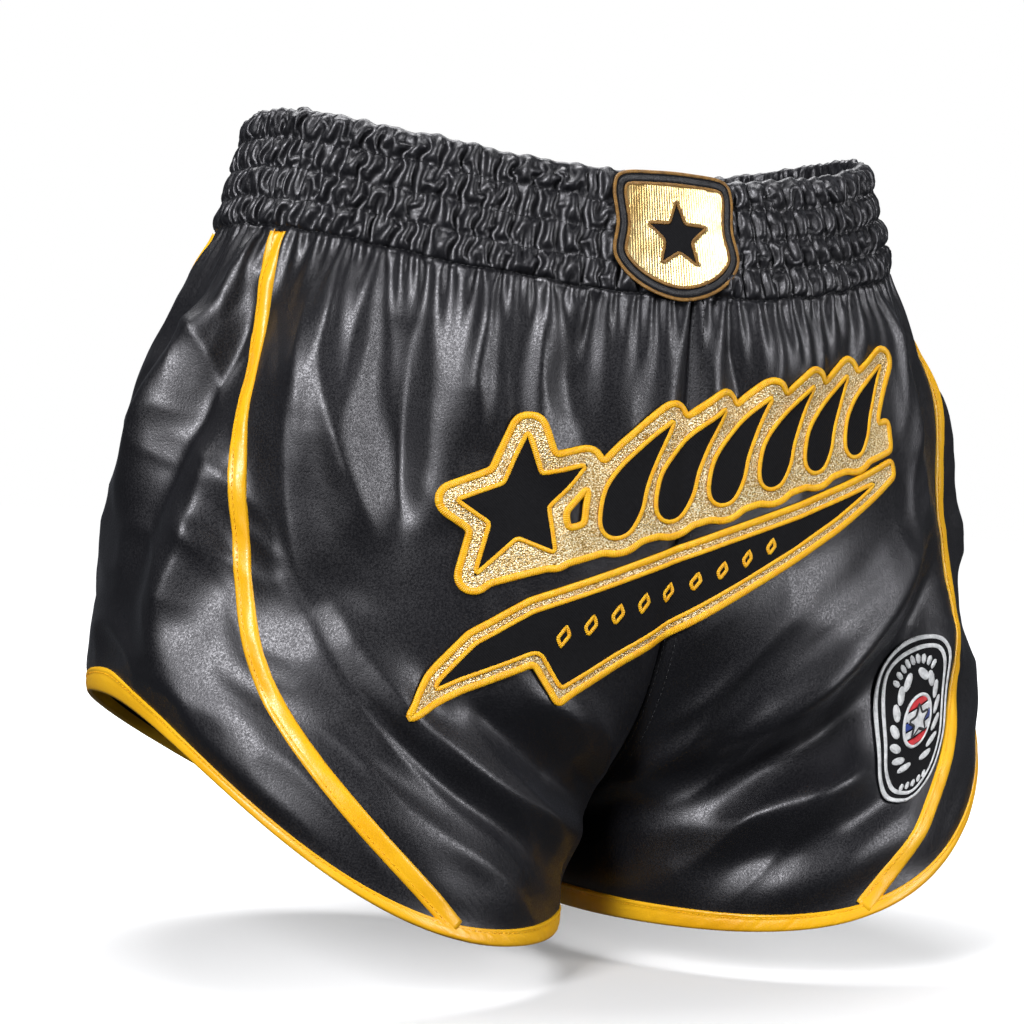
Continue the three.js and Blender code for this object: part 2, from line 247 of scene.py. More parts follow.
# ---- Folds ----
# Each fold is (side, crest as [share of the way round, drop] points, height and half width in mm).
# A negative height is a valley.
FOLD_SCALE = 1.6
VALLEY = 0.28  # share of a fold's height by which the cloth dips beside it
CREST_POINTS = 28
FOLDS = [
    # wearer's right half, front panel
    (-1, [(0.30, 0.02), (0.29, 0.20), (0.24, 0.36), (0.20, 0.48)], 5.0, 11),
    (-1, [(0.24, 0.02), (0.22, 0.18), (0.21, 0.34), (0.20, 0.46)], -4.5, 10),
    (-1, [(0.17, 0.02), (0.17, 0.15), (0.15, 0.26)], 3.5, 9),
    (-1, [(0.32, 0.10), (0.30, 0.36), (0.27, 0.60), (0.22, 0.80), (0.16, 0.93)], 5.5, 15),
    (-1, [(0.30, 0.45), (0.25, 0.66), (0.19, 0.82), (0.12, 0.90)], -5.0, 12),
    (-1, [(0.24, 0.58), (0.18, 0.74), (0.12, 0.84), (0.06, 0.90)], 5.0, 11),
    (-1, [(0.17, 0.62), (0.11, 0.74), (0.06, 0.82)], -4.0, 10),
    (-1, [(0.09, 0.02), (0.10, 0.12), (0.09, 0.22)], -3.0, 8),
    # wearer's right side panel
    (-1, [(0.42, 0.01), (0.43, 0.18), (0.47, 0.40), (0.50, 0.62)], 5.5, 14),
    (-1, [(0.39, 0.06), (0.39, 0.28), (0.42, 0.52), (0.46, 0.76)], -5.0, 13),
    (-1, [(0.48, 0.02), (0.49, 0.22), (0.52, 0.45)], -4.0, 14),
    (-1, [(0.37, 0.34), (0.38, 0.55), (0.42, 0.75), (0.44, 0.95)], 5.0, 13),
    # wearer's left half, front panel
    (1, [(0.03, 0.02), (0.05, 0.14), (0.04, 0.30), (0.07, 0.44)], -4.0, 9),
    (1, [(0.10, 0.02), (0.11, 0.16), (0.09, 0.30)], 4.0, 10),
    (1, [(0.17, 0.02), (0.18, 0.20), (0.20, 0.34)], -3.5, 10),
    (1, [(0.26, 0.02), (0.27, 0.22), (0.29, 0.45)], 4.0, 12),
    (1, [(0.27, 0.38), (0.20, 0.50), (0.12, 0.64), (0.05, 0.76)], 5.5, 12),
    (1, [(0.30, 0.50), (0.22, 0.62), (0.14, 0.74), (0.06, 0.82)], -5.5, 12),
    (1, [(0.31, 0.62), (0.24, 0.73), (0.16, 0.82), (0.07, 0.88)], 5.5, 12),
    (1, [(0.28, 0.80), (0.20, 0.87), (0.11, 0.92)], -4.5, 11),
    # wearer's left side panel
    (1, [(0.42, 0.02), (0.44, 0.25), (0.46, 0.50)], -4.5, 13),
    (1, [(0.48, 0.01), (0.50, 0.25), (0.49, 0.55)], 5.0, 15),
    (1, [(0.38, 0.15), (0.38, 0.45), (0.41, 0.75)], 4.0, 13),
    # back, both halves
    (-1, [(0.66, 0.02), (0.68, 0.25), (0.72, 0.50), (0.80, 0.72)], 5.0, 14),
    (-1, [(0.75, 0.02), (0.77, 0.22), (0.80, 0.45)], -4.5, 13),
    (-1, [(0.86, 0.02), (0.85, 0.18), (0.88, 0.36)], 4.5, 12),
    (-1, [(0.72, 0.60), (0.80, 0.74), (0.90, 0.84)], 5.5, 13),
    (-1, [(0.76, 0.78), (0.85, 0.86), (0.93, 0.92)], -4.5, 12),
    (1, [(0.64, 0.02), (0.67, 0.28), (0.70, 0.52)], -4.5, 14),
    (1, [(0.72, 0.02), (0.74, 0.20), (0.78, 0.44), (0.86, 0.66)], 5.0, 13),
    (1, [(0.83, 0.02), (0.84, 0.20), (0.83, 0.34)], -4.0, 12),
    (1, [(0.68, 0.62), (0.77, 0.76), (0.87, 0.86)], 5.5, 13),
    (1, [(0.92, 0.03), (0.91, 0.20), (0.93, 0.40)], 4.0, 11),
    (1, [(0.79, 0.70), (0.87, 0.80), (0.95, 0.87)], -4.0, 12),
]


def fold_heights(points, drops, bands):
    """Outward displacement of the cloth by its folds, in mm. The first rows are the waistband's puffs."""
    heights = np.zeros(points.shape[:3])
    for side, crest, height, width in FOLDS:
        which = 0 if side < 0 else 1
        line = read_at(np.linspace(0, 1, CREST_POINTS), np.linspace(0, 1, len(crest)), np.array(crest))
        line = body_point(side, *smooth(line, 6).T)
        distance = np.full(points.shape[1:3], 1e9)
        at_share = np.zeros(points.shape[1:3])
        for k, step in enumerate(np.diff(line, axis=0)):
            off = points[which] - line[k]
            share = np.clip((off @ step) / (step @ step), 0, 1)
            gap = np.linalg.norm(off - share[..., None] * step, axis=-1)
            at_share = np.where(gap < distance, (k + share) / (CREST_POINTS - 1), at_share)
            distance = np.minimum(distance, gap)
        profile = FOLD_SCALE * np.exp(-(distance / width) ** 1.5)
        profile -= VALLEY * np.exp(-((distance - 1.9 * width) / width) ** 2)
        fade = np.minimum(1, np.minimum(at_share / 0.25 + 0.35, (1 - at_share) / 0.4))
        heights[which] += height * fade * profile
    heights *= 1 - 0.85 * stiff_zones(points, drops)
    heights -= SEAM_GROOVE * np.exp(-(points[..., 0] / 2.5) ** 2) * (drops < CROTCH_AT)
    between = np.arange(bands) * BAND_LINES / (bands - 1) % 1
    heights[:, :, :bands] = PUFF * np.sin(np.pi * between) ** 0.8
    return heights


def ridge(noise):
    """A height that is sharpest where the noise passes through zero."""
    return 0.5 - np.sqrt(noise * noise + 0.0015)


def crumples(points, drops):
    """Outward displacement, in mm, by the sharp small creases between the folds: upright under the gathers
    and slanting in towards the crotch lower down."""
    x, y, z = np.abs(points[..., 0]), points[..., 1], points[..., 2]
    half = np.where(points[..., 0] < 0, 40.0, 0.0)
    low = np.clip((drops - 0.2) / 0.35, 0, 1)
    low = low * low * (3 - 2 * low)
    total = 0
    for size, height, seed in CREASES:
        bend = 0.5 * lattice(x / 60 + half, y / 60, z / 60, seed + 20)
        upright = lattice(x / size + bend, y / size + half, z / (4.0 * size), seed)
        across, along = 0.7 * x - 0.7 * z, -0.7 * x - 0.7 * z
        slanting = lattice(across / size + bend, y / (2 * size) + half, along / (4.0 * size), seed + 10)
        total = total + height * (ridge(upright) * (1 - low) + ridge(slanting) * low)
    seams = 1 - np.exp(-(x / 9) ** 2)
    hem = 1 - np.exp(-((1 - drops) / 0.05) ** 2)
    start = 1 - np.exp(-(drops / 0.05) ** 2)
    return total * seams * hem * start * (1 - 0.8 * stiff_zones(points, drops))


def lattice(u, v, w, seed):
    """Smooth noise from -1 to 1 at places in space."""
    values = np.random.default_rng(seed).uniform(-1, 1, (16, 16, 16))
    total = 0
    corners = []
    for t in (u, v, w):
        i = np.floor(t)
        f = t - i
        corners.append((i.astype(int) % 16, f * f * (3 - 2 * f)))
    (i, f), (j, g), (k, h) = corners
    for a in (0, 1):
        for b in (0, 1):
            for c in (0, 1):
                share = (f if a else 1 - f) * (g if b else 1 - g) * (h if c else 1 - h)
                total = total + share * values[(i + a) % 16, (j + b) % 16, (k + c) % 16]
    return total


def stiff_zones(points, drops):
    """Where sewn-on layers and the hem binding keep the cloth flat, from 0 to 1."""
    x, y, z = points[..., 0], points[..., 1], points[..., 2]
    direction = np.array(CREST_TO) - CREST_FROM
    length = np.linalg.norm(direction)
    direction = direction / length
    along = (x - CREST_FROM[0]) * direction[0] + (z - CREST_FROM[1]) * direction[1]
    across = -(x - CREST_FROM[0]) * direction[1] + (z - CREST_FROM[1]) * direction[0]
    outside = np.hypot(np.maximum(0, np.abs(along - length / 2) - length / 2),
                       np.maximum(0, np.abs(across) - 30))
    crest = np.exp(-(outside / 12) ** 2) * (y < 0)
    centre = body_point(1, *PATCH_AT)
    away = np.linalg.norm(points - centre, axis=-1)
    patch = 1 / (1 + np.exp((away - 40) / 5))
    hem = np.broadcast_to(np.exp(-((1 - drops) / 0.03) ** 2), x.shape)
    return np.maximum(np.maximum(crest, patch), 0.8 * hem)


# ---- Cloth ----
GATHER = 1.5  # flat width over gathered width in the waistband
PLEAT = 8.2  # mm between pleats along the waistband
PLEAT_DEPTH = 4.4
PUFF = 2.4  # mm each waistband row stands out between its stitched lines
CREASES = ((44.0, 7.0, 1), (24.0, 5.2, 2), (13.0, 2.0, 3))  # mm apart, height in mm and random seed
GATHERS_END = 0.11  # share of the drop over which the gathers give way to folds
SAG = 0.35  # share of the cloth's hang that shows below the gathers
EASE = 1.005  # slack of the panels below the gathers
BENDING = 0.10  # how far a bend gives way in one pass
INWARD, OUTWARD = -7.0, 9.0  # mm the cloth may lie inside and outside its mean surface
DRIFT = 5.0  # mm it may slide along it
STIFF = 0.9  # how far a stretch gives way in one pass
DAMPING = 0.92
PASSES = 5  # over every link in each step
GRAVITY = 0.01  # mm fallen in one step of the fine grid
SEAM_GROOVE = 1.4  # mm the centre seams are drawn in
GATHER_REACH = 0.05  # share of the drop over which the gathers' slack dies out


def pleat_waves(points, coarse, rng):
    """Outward pleats along the waistband, [side, column, band row], as shares of their depth."""
    rows = len(shares(coarse)[0])
    columns = points.shape[1]
    waves = []
    for which in (0, 1):
        length = distances_along(points[which, :, 0])
        drift = smooth_noise((columns, rows), (60, 9), rng) * 3.0
        stretch = np.cumsum(smooth_noise((columns, 1), (60, 1), rng)[:, 0]) * (0.3 * coarse)
        phase = 2 * np.pi * length[:, None] / PLEAT + drift + stretch[:, None]
        depth = 1 + 0.45 * smooth_noise((columns, rows), (110, 6), rng)
        between = np.sin(np.pi * (np.arange(rows) * BAND_LINES / (rows - 1) % 1))
        waves.append(depth * np.abs(np.sin(phase / 2)) ** 0.8 * (0.3 + 0.7 * between))
    return np.stack(waves)


class Cloth:
    """Position-based cloth on the [side, column, row] grid, hung from its stitched lines over a form."""

    def __init__(self, coarse):
        self.points, self.drops = grid(coarse)
        self.bands = len(shares(coarse)[0])
        self.in_band = np.arange(self.points.shape[2]) < self.bands
        self.normals = normals(self.points)
        folds = fold_heights(self.points, self.drops, self.bands)
        self.shaped = self.points + self.normals * folds[..., None]
        self.zones = stiff_zones(self.points, self.drops)[..., None]
        self.zones[:, :, : self.bands] = 0
        slack = EASE + (GATHER - EASE) * 0.65 * np.exp(-self.drops / GATHER_REACH)
        slack = np.where(self.in_band, GATHER, slack)[None, ..., None]
        self.fullness = 1 + (slack - 1) * (1 - self.zones)
        self.links = [self.link(*offset) for offset in ((1, 0), (0, 1), (1, 1), (1, -1), (2, 0), (0, 2))]
        self.crotch = int(np.searchsorted(self.drops[0], CROTCH_AT))
        self.pinned = np.zeros(self.points.shape[:3] + (1,), bool)
        for line in range(BAND_LINES + 1):
            self.pinned[:, :, line * (self.bands - 1) // BAND_LINES] = True
        self.floor = np.where(self.in_band, 0.3, INWARD).astype(np.float32)[:, None]

    def link(self, across, down):
        """Rest lengths and stiffness of the links between points that many columns and rows apart."""
        shape = self.shaped
        low = (slice(None), slice(0, -across or None), slice(max(0, -down), -down if down > 0 else None))
        high = (slice(None), slice(across, None), slice(max(0, down), down if down < 0 else None))
        step = shape[high] - shape[low]
        if across:
            # The slack is in the cloth's width, along its rows.
            row = unit(np.gradient(shape, axis=1))[low]
            along = (step * row).sum(-1, keepdims=True)
            step = step + along * row * ((self.fullness[low] + self.fullness[high]) / 2 - 1)
        stiff = STIFF
        if max(across, abs(down)) == 2:
            stiff = BENDING + (0.5 * self.zones + 0.12) * ~self.in_band[:, None]
            stiff = stiff[low].astype(np.float32)
        return across, down, np.linalg.norm(step, axis=-1, keepdims=True).astype(np.float32), stiff

    def relax(self, p, steps, gravity):
        """Lets the cloth fall and settle from these points, and returns where it comes to rest."""
        base = self.points.astype(np.float32)
        normal = self.normals.astype(np.float32)
        held = p.copy()
        velocity = np.zeros_like(p)
        for _ in range(steps):
            before = p.copy()
            p += velocity * DAMPING
            p[..., 2] -= gravity
            for _ in range(PASSES):
                for link in self.links:
                    self.project(p, *link)
                p = np.where(self.pinned, held, p)
                self.join(p)
            off = p - base
            away = (off * normal).sum(-1, keepdims=True)
            slide = off - normal * away
            reach = np.linalg.norm(slide, axis=-1, keepdims=True)
            slide *= np.minimum(1, DRIFT / np.maximum(reach, 1e-6))
            p = base + slide + normal * np.clip(away, self.floor, OUTWARD)
            p = np.where(self.pinned, held, p)
            velocity = p - before
        return p

    def project(self, p, across, down, rest, stiff):
        """One pass of a kind of link, every other one at a time: no point is moved twice at once."""
        axis, apart = (1, across) if across else (2, down)
        every = slice(None)
        for start in range(2):
            first = np.arange(p.shape[axis] - apart)
            first = first[(first // apart) % 2 == start]
            if across:
                pick = (every, first)
                low = (*pick, slice(max(0, -down), p.shape[2] - max(0, down)))
                high = (every, first + across, slice(max(0, down), p.shape[2] - max(0, -down)))
            else:
                pick = low = (every, every, first)
                high = (every, every, first + down)
            step = p[high] - p[low]
            size = np.sqrt((step * step).sum(-1, keepdims=True))
            give = stiff if isinstance(stiff, float) else stiff[pick]
            move = step * (0.5 * give * (1 - rest[pick] / np.maximum(size, 1e-6)))
            p[low] += move
            p[high] -= move

    def join(self, p):
        """Sews the halves together above the crotch, and each leg's inner seam below it."""
        k = self.crotch
        for column in (0, -1):
            middle = (p[0, column, :k] + p[1, column, :k]) / 2
            middle[:, 0] = 0
            p[:, column, :k] = middle
        inner = (p[:, 0, k:] + p[:, -1, k:]) / 2
        p[:, 0, k:] = inner
        p[:, -1, k:] = inner


def simulate():
    """The cloth's resting shape, [side, column, row] points in mm, and its fine grid."""
    rng = np.random.default_rng(5)
    cloth = Cloth(2)
    bands = cloth.bands
    pleats = pleat_waves(cloth.points, 2, rng)
    lower = pleats[:, :, -1:] * np.exp(-cloth.drops[:, bands:] / 0.06)
    start = cloth.shaped + cloth.normals * (PLEAT_DEPTH * np.concatenate([pleats, lower], 2))[..., None]
    for which in (0, 1):
        start[which, :, :bands, 2] += smooth_noise((start.shape[1], bands), (60, 9), rng) * 0.9
        wobble = smooth_noise(start.shape[1:3], (40, 14), rng) * 1.2
        start[which, :, bands:] += (cloth.normals[which] * wobble[..., None])[:, bands:]
    coarse_steps, fine_steps = ((130, 34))
    p = cloth.relax(start.astype(np.float32), coarse_steps, 2 * GRAVITY)
    fine = Cloth(1)
    p = fine.relax(upsample(p).astype(np.float32), fine_steps, GRAVITY)
    return settle(p.astype(float), fine), fine


def settle(p, cloth):
    """Lets the gathers die out down the panels, where folds and creases take over from them."""
    hang = p - cloth.shaped
    calm = smooth(smooth(hang, 110, axis=1), 50, axis=2)
    drop = cloth.drops[None, :, :, None]
    near = np.exp(-(drop / GATHERS_END) ** 1.4)
    calm *= SAG * (1 - np.exp(-((1 - drop) / 0.15) ** 2))
    rest = cloth.shaped + cloth.normals * crumples(cloth.points, cloth.drops)[..., None]
    settled = rest + hang * near + calm * (1 - near)
    settled[:, :, : cloth.bands] = p[:, :, : cloth.bands]
    cloth.join(settled)
    return settled


# ---- Mesh helpers ----
STITCH_WIDTH = 0.5


SLOTS = {"gold_tape": "gold_satin", "brown_thread": "gold_thread", "glitter": "glitter_twill",
         **dict.fromkeys(("white_thread", "red_thread", "blue_thread"), "patch_embroidery")}


def add_mesh(name, points, faces, materials, uv=None):
    """A closed piece from points in mm. uv gives each point's place on its material, in mm."""
    mesh = bpy.data.meshes.new(name)
    mesh.from_pydata((np.asarray(points) * MM).tolist(), [], [list(map(int, f)) for f in faces])
    mesh.update()
    for material in materials:
        mesh.materials.append(material)
    mesh.polygons.foreach_set("use_smooth", [True] * len(mesh.polygons))
    if uv is not None:
        corners = np.empty(len(mesh.loops), int)
        mesh.loops.foreach_get("vertex_index", corners)
        mesh.uv_layers.new(name="place").data.foreach_set("uv", (np.asarray(uv)[corners] * MM).ravel())
    solid = bmesh.new()
    solid.from_mesh(mesh)
    if solid.calc_volume(signed=True) < 0:
        mesh.flip_normals()
    solid.free()
    piece = bpy.data.objects.new(name, mesh)
    bpy.context.collection.objects.link(piece)
    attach(piece, "root")
    return piece


def quads(columns, rows, closed_columns=False, closed_rows=False):
    """Faces of a [column, row] grid of points."""
    i, j = np.meshgrid(np.arange(columns if closed_columns else columns - 1),
                       np.arange(rows if closed_rows else rows - 1), indexing="ij")
    k, m = (i + 1) % columns, (j + 1) % rows
    return np.stack([i * rows + j, i * rows + m, k * rows + m, k * rows + j], -1).reshape(-1, 4)


def flat_grid(along, across):
    """Flat places of a [place along, place across] grid, as one list."""
    return np.stack(np.meshgrid(along, across, indexing="ij"), -1).reshape(-1, 2)


def slab(name, top, bottom, faces, materials, uv=None):
    """A closed piece between two layers of points that share these faces. The lower takes material two."""
    n = len(top)
    edges = np.concatenate([faces, np.roll(faces, -1, axis=1)], 0).reshape(2, -1).T
    keys = edges[:, 0].astype(np.int64) * (n + 1) + edges[:, 1]
    back = edges[:, 1].astype(np.int64) * (n + 1) + edges[:, 0]
    rim = edges[~np.isin(keys, back)]
    sides = np.stack([rim[:, 1], rim[:, 0], rim[:, 0] + n, rim[:, 1] + n], -1)
    everything = np.concatenate([faces, faces[:, ::-1] + n, sides])
    uv = None if uv is None else np.concatenate([uv, uv])
    piece = add_mesh(name, np.concatenate([top, bottom]), everything, materials, uv)
    if len(materials) > 1:
        index = np.zeros(len(everything), int)
        index[len(faces): 2 * len(faces)] = 1
        piece.data.polygons.foreach_set("material_index", index.tolist())
    return piece


def tube(name, sections, material, closed):
    """A closed piece through [place along it, corner] sections."""
    count, corners = sections.shape[:2]
    faces = quads(count, corners, closed, True)
    points = sections.reshape(-1, 3)
    if not closed:
        ends = np.stack([sections[0].mean(0), sections[-1].mean(0)])
        first, last = len(points), len(points) + 1
        j = np.arange(corners)
        m = (j + 1) % corners
        base = (count - 1) * corners
        caps = np.concatenate([np.stack([np.full(corners, first), m, j, j], -1),
                               np.stack([np.full(corners, last), base + j, base + m, base + m], -1)])
        points = np.concatenate([points, ends])
        faces = [list(f) for f in faces] + [list(f[:3]) for f in caps]
    uv = flat_grid(distances_along(sections.mean(1)), np.arange(corners) * 1.0)
    if not closed:
        uv = np.concatenate([uv, uv[:1], uv[-1:]])
    return add_mesh(name, points, faces, [material], uv)


def resample(path, step, closed=False):
    """Points along a path at even steps. Only its first columns, up to three, count as places."""
    path = np.asarray(path, float)
    if closed:
        path = np.concatenate([path, path[:1]])
    length = distances_along(path[:, :3])
    count = max(3, int(round(length[-1] / step)))
    at = np.linspace(0, length[-1], count + 1)
    return read_at(at[:-1] if closed else at, length, path)


def stitches(name, path, normal, material, pitch=3.0, length=2.3, closed=False):
    """Separate thread stitches along a path, each one sunk at its ends."""
    spots, up = np.split(resample(np.hstack([path, normal]), pitch, closed), 2, 1)
    along = unit(np.gradient(spots, axis=0))
    up = unit(up - (up * along).sum(-1, keepdims=True) * along)
    side = np.cross(along, up)
    ring = [(-1, 0, -0.5)]
    for t, r in ((-0.62, 0.8), (0.62, 0.8)):
        ring += [(t, r, 0), (t, 0, r), (t, -r, 0), (t, 0, -r)]
    ring.append((1, 0, -0.5))
    shape = np.array(ring) * (length / 2, STITCH_WIDTH / 2, STITCH_WIDTH / 2)
    points = (spots[:, None] + shape[None, :, :1] * along[:, None] + shape[None, :, 1:2] * side[:, None]
              + shape[None, :, 2:] * up[:, None])
    faces = [(0, 1 + (k + 1) % 4, 1 + k) for k in range(4)]
    faces += [(1 + k, 1 + (k + 1) % 4, 5 + (k + 1) % 4, 5 + k) for k in range(4)]
    faces += [(9, 5 + k, 5 + (k + 1) % 4) for k in range(4)]
    every = [tuple(10 * i + v for v in f) for i in range(len(spots)) for f in faces]
    return add_mesh(name, points.reshape(-1, 3), every, [material])


# ---- Materials ----
class Nodes:
    """Short way to write a material's nodes."""

    def __init__(self, name, color, roughness, **sockets):
        self.material = bpy.data.materials.new(name)
        self.material.use_nodes = True
        self.tree = self.material.node_tree
        self.shader = self.tree.nodes["Principled BSDF"]
        self.set(self.shader, Base_Color=(*color, 1), Roughness=roughness, **sockets)

    def set(self, node, **sockets):
        for key, value in sockets.items():
            socket = node.inputs[int(key[1:])] if key[0] == "i" and key[1:].isdigit() else \
                node.inputs[key.replace("_", " ")]
            if isinstance(value, bpy.types.NodeSocket):
                self.tree.links.new(value, socket)
            else:
                socket.default_value = value

    def add(self, kind, options=None, **sockets):
        node = self.tree.nodes.new("ShaderNode" + kind)
        for key, value in (options or {}).items():
            setattr(node, key, value)
        self.set(node, **sockets)
        return node

    def place(self, which="Object"):
        return self.add("TexCoord").outputs[which]

    def noise(self, place, scale, detail=2.0, stretch=(1, 1, 1)):
        mapped = self.add("Mapping", Vector=place, Scale=stretch).outputs[0]
        return self.add("TexNoise", Vector=mapped, Scale=scale, Detail=detail).outputs["Fac"]

    def ribs(self, place, pitch, direction, distortion):
        """Waves that many mm apart. The texture repeats every 2 pi / (20 x its scale) metres."""
        return self.add("TexWave", {"bands_direction": direction}, Vector=place,
                        Scale=2 * math.pi / (20 * pitch * MM), Distortion=distortion).outputs["Fac"]

    def ramp(self, value, *stops):
        node = self.add("ValToRGB", i0=value)
        elements = node.color_ramp.elements
        while len(elements) < len(stops):
            elements.new(0.5)
        for element, (at, color) in zip(elements, stops):
            element.position = at
            element.color = (*color, 1)
        return node.outputs[0]

    def mix(self, factor, a, b):
        node = self.add("Mix", {"data_type": "RGBA"}, i0=factor)
        self.set(node, i6=a, i7=b)
        return node.outputs[2]

    def bump(self, height, strength, distance, below=None):
        sockets = {"Strength": strength, "Distance": distance, "Height": height}
        if below is not None:
            sockets["Normal"] = below
        return self.add("Bump", **sockets).outputs[0]

    def rough(self, value, low, high):
        node = self.add("MapRange", i0=value)
        self.set(node, i3=low, i4=high)
        self.set(self.shader, Roughness=node.outputs[0])


def satin(name, color, light, roughness, **sockets):
    """Satin: a soft gloss, with a fine grain in its highlights and slight unevenness."""
    m = Nodes(name, color, roughness[0], **sockets)
    place = m.place()
    grain = m.noise(place, 1300, 3.0)
    cloudy = m.noise(place, 26, 2.0)
    m.set(m.shader, Base_Color=m.ramp(cloudy, (0.3, color), (0.75, light)))
    m.rough(m.ramp(grain, (0.36, (0, 0, 0)), (0.64, (1, 1, 1))), *roughness)
    fine = m.bump(grain, 0.4, 0.0002)
    m.set(m.shader, Normal=m.bump(m.noise(place, 420, 2.0, (1, 1, 0.5)), 0.22, 0.00025, fine))
    return m.material


def thread(name, color, light, pitch, roughness=0.42):
    """Satin stitch: parallel threads laid across a line, so their bumps run along it."""
    m = Nodes(name, color, roughness)
    rows = m.ribs(m.place("UV"), pitch, "X", 1.2)
    uneven = m.noise(m.place(), 900, 2.0)
    m.set(m.shader, Base_Color=m.ramp(m.noise(m.place(), 350, 2.0), (0.3, color), (0.7, light)),
          Normal=m.bump(rows, 0.55, 0.0003, m.bump(uneven, 0.3, 0.0003)))
    return m.material


def twill(name, color, light, pitch):
    """Matt twill, with fine diagonal ribs."""
    m = Nodes(name, color, 0.8, Specular_IOR_Level=0.12)
    ribs = m.ribs(m.add("Mapping", Vector=m.place(), Rotation=(0, 0.8, 0)).outputs[0], pitch, "X", 0.6)
    m.set(m.shader, Base_Color=m.mix(m.noise(m.place(), 700, 2.0), (*color, 1), (*light, 1)),
          Normal=m.bump(ribs, 0.45, 0.0002))
    return m.material


def glitter():
    """Gold glitter cloth: flakes that each tilt and shade a little differently."""
    m = Nodes("glitter", (0.62, 0.42, 0.16), 0.36, Metallic=0.55)
    flakes = m.add("TexVoronoi", Vector=m.place(), Scale=1500.0)
    tilt = m.bump(flakes.outputs["Distance"], 0.8, 0.0005)
    shade = m.noise(m.place(), 1500, 0.0)
    m.set(m.shader, Normal=tilt, Base_Color=m.ramp(
        shade, (0.32, (0.42, 0.25, 0.06)), (0.5, (0.78, 0.55, 0.24)), (0.66, (1.0, 0.90, 0.64))))
    return m.material


FOIL_PITCH = 1.2083


def foil():
    """Metallic gold cloth, lightly creased and finely ribbed."""
    m = Nodes("gold_foil", (0.80, 0.57, 0.24), 0.3, Metallic=0.9)
    ribs = m.ribs(m.place("UV"), FOIL_PITCH, "X", 0.3)
    m.rough(m.noise(m.place(), 240, 3.0), 0.22, 0.42)
    m.set(m.shader, Base_Color=m.ramp(m.noise(m.place(), 60, 2.0), (0.35, (0.70, 0.46, 0.17)),
                                      (0.65, (0.93, 0.72, 0.36))),
          Normal=m.bump(ribs, 0.25, 0.0002, m.bump(m.noise(m.place(), 130, 2.0), 0.35, 0.001)))
    return m.material


def ribbed(name, color, pitch):
    """Woven tape or elastic, with ribs along it."""
    m = Nodes(name, color, 0.8)
    ribs = m.ribs(m.place("UV"), pitch, "Y", 0.4)
    m.set(m.shader, Normal=m.bump(ribs, 0.6, 0.0004, m.bump(m.noise(m.place(), 1200, 2.0), 0.3, 0.0003)))
    return m.material


SATIN = satin("satin", (0.0034, 0.0034, 0.0046), (0.0070, 0.0070, 0.0092), (0.32, 0.53),
              Specular_IOR_Level=0.66, Specular_Tint=(0.95, 0.94, 1.0, 1),
              Sheen_Weight=0.04, Sheen_Roughness=0.35, Sheen_Tint=(0.8, 0.85, 1, 1))
INSIDE = satin("satin_inside", (0.010, 0.010, 0.011), (0.017, 0.017, 0.018), (0.6, 0.75),
               Specular_IOR_Level=0.3)
GOLD_TAPE = satin("gold_tape", (0.93, 0.44, 0.004), (1.0, 0.56, 0.012), (0.28, 0.48),
                  Specular_IOR_Level=0.6)
GOLD_THREAD = thread("gold_thread", (0.93, 0.42, 0.004), (1.0, 0.56, 0.012), 0.8)
BLACK_THREAD = thread("black_thread", (0.012, 0.012, 0.014), (0.03, 0.03, 0.034), 0.7, 0.55)
WHITE_THREAD = thread("white_thread", (0.55, 0.56, 0.58), (0.85, 0.86, 0.88), 0.7, 0.5)
RED_THREAD = thread("red_thread", (0.50, 0.012, 0.02), (0.70, 0.03, 0.04), 0.7, 0.5)
BLUE_THREAD = thread("blue_thread", (0.012, 0.035, 0.22), (0.03, 0.07, 0.36), 0.7, 0.5)
BROWN_THREAD = thread("brown_thread", (0.16, 0.075, 0.012), (0.32, 0.16, 0.03), 0.7, 0.5)
TWILL = twill("black_twill", (0.005, 0.005, 0.006), (0.011, 0.011, 0.013), 0.9)
GLITTER = glitter()
FOIL = foil()
LABEL = ribbed("label_tape", (0.8, 0.8, 0.78), 0.6)
ELASTIC = ribbed("elastic", (0.7, 0.69, 0.66), 1.1)

# ---- Cloth pieces ----
points, cloth = simulate()
surface = normals(points)
THICKNESS = 0.7
ELASTIC_MARGIN = 1.6  # mm from a row of elastic to the stitched lines beside it
BINDING_REACH = (10.0, 9.7, 8.6, 7.6, 6.2, 4.2, 2.0, 0.4)  # mm above the hem, down the binding
BINDING_LIFT = (0.25, 0.8, 0.95, 0.6, 1.0, 1.15, 1.1, 0.9)  # mm the binding stands off the cloth there
PIPING_LIFT = (0.1, 0.9, 0.65, 1.0, 1.2, 1.25, 1.2, 1.0, 0.1)  # mm across the piping, lowest at its edges
F, S = FRONT_COLUMNS, SIDE_COLUMNS
ALL = 2 * F + S
WAIST = cloth.bands - 1  # the row of the waist seam
SIDES = ((0, "right"), (1, "left"))
PANELS = (("front_panel", 0, F, (0.25, 0.27)), ("side_panel", F, F + S, (0.175, 0.25)),
          ("back_panel", F + S, ALL, (0.25, 0.27)))  # first and last column, and flat size


def cloth_tree():
    """The outer surface of all the panels, for laying pieces on it."""
    block = points[:, :, WAIST:]
    faces = quads(*block.shape[1:3])
    both = np.concatenate([faces, faces + block[0, ..., 0].size])
    return BVHTree.FromPolygons(block.reshape(-1, 3).tolist(), both.tolist())


CLOTH_TREE = cloth_tree()


def add_panels():
    for which, word in SIDES:
        for name, low, high, flat in PANELS:
            top = points[which, low: high + 1, WAIST:]
            under = top - surface[which, low: high + 1, WAIST:] * THICKNESS
            piece = slab(f"{name}_{word}_cloth", top.reshape(-1, 3), under.reshape(-1, 3),
                         quads(*top.shape[:2]), [SATIN, INSIDE])
            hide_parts(f"{name}_{word}")


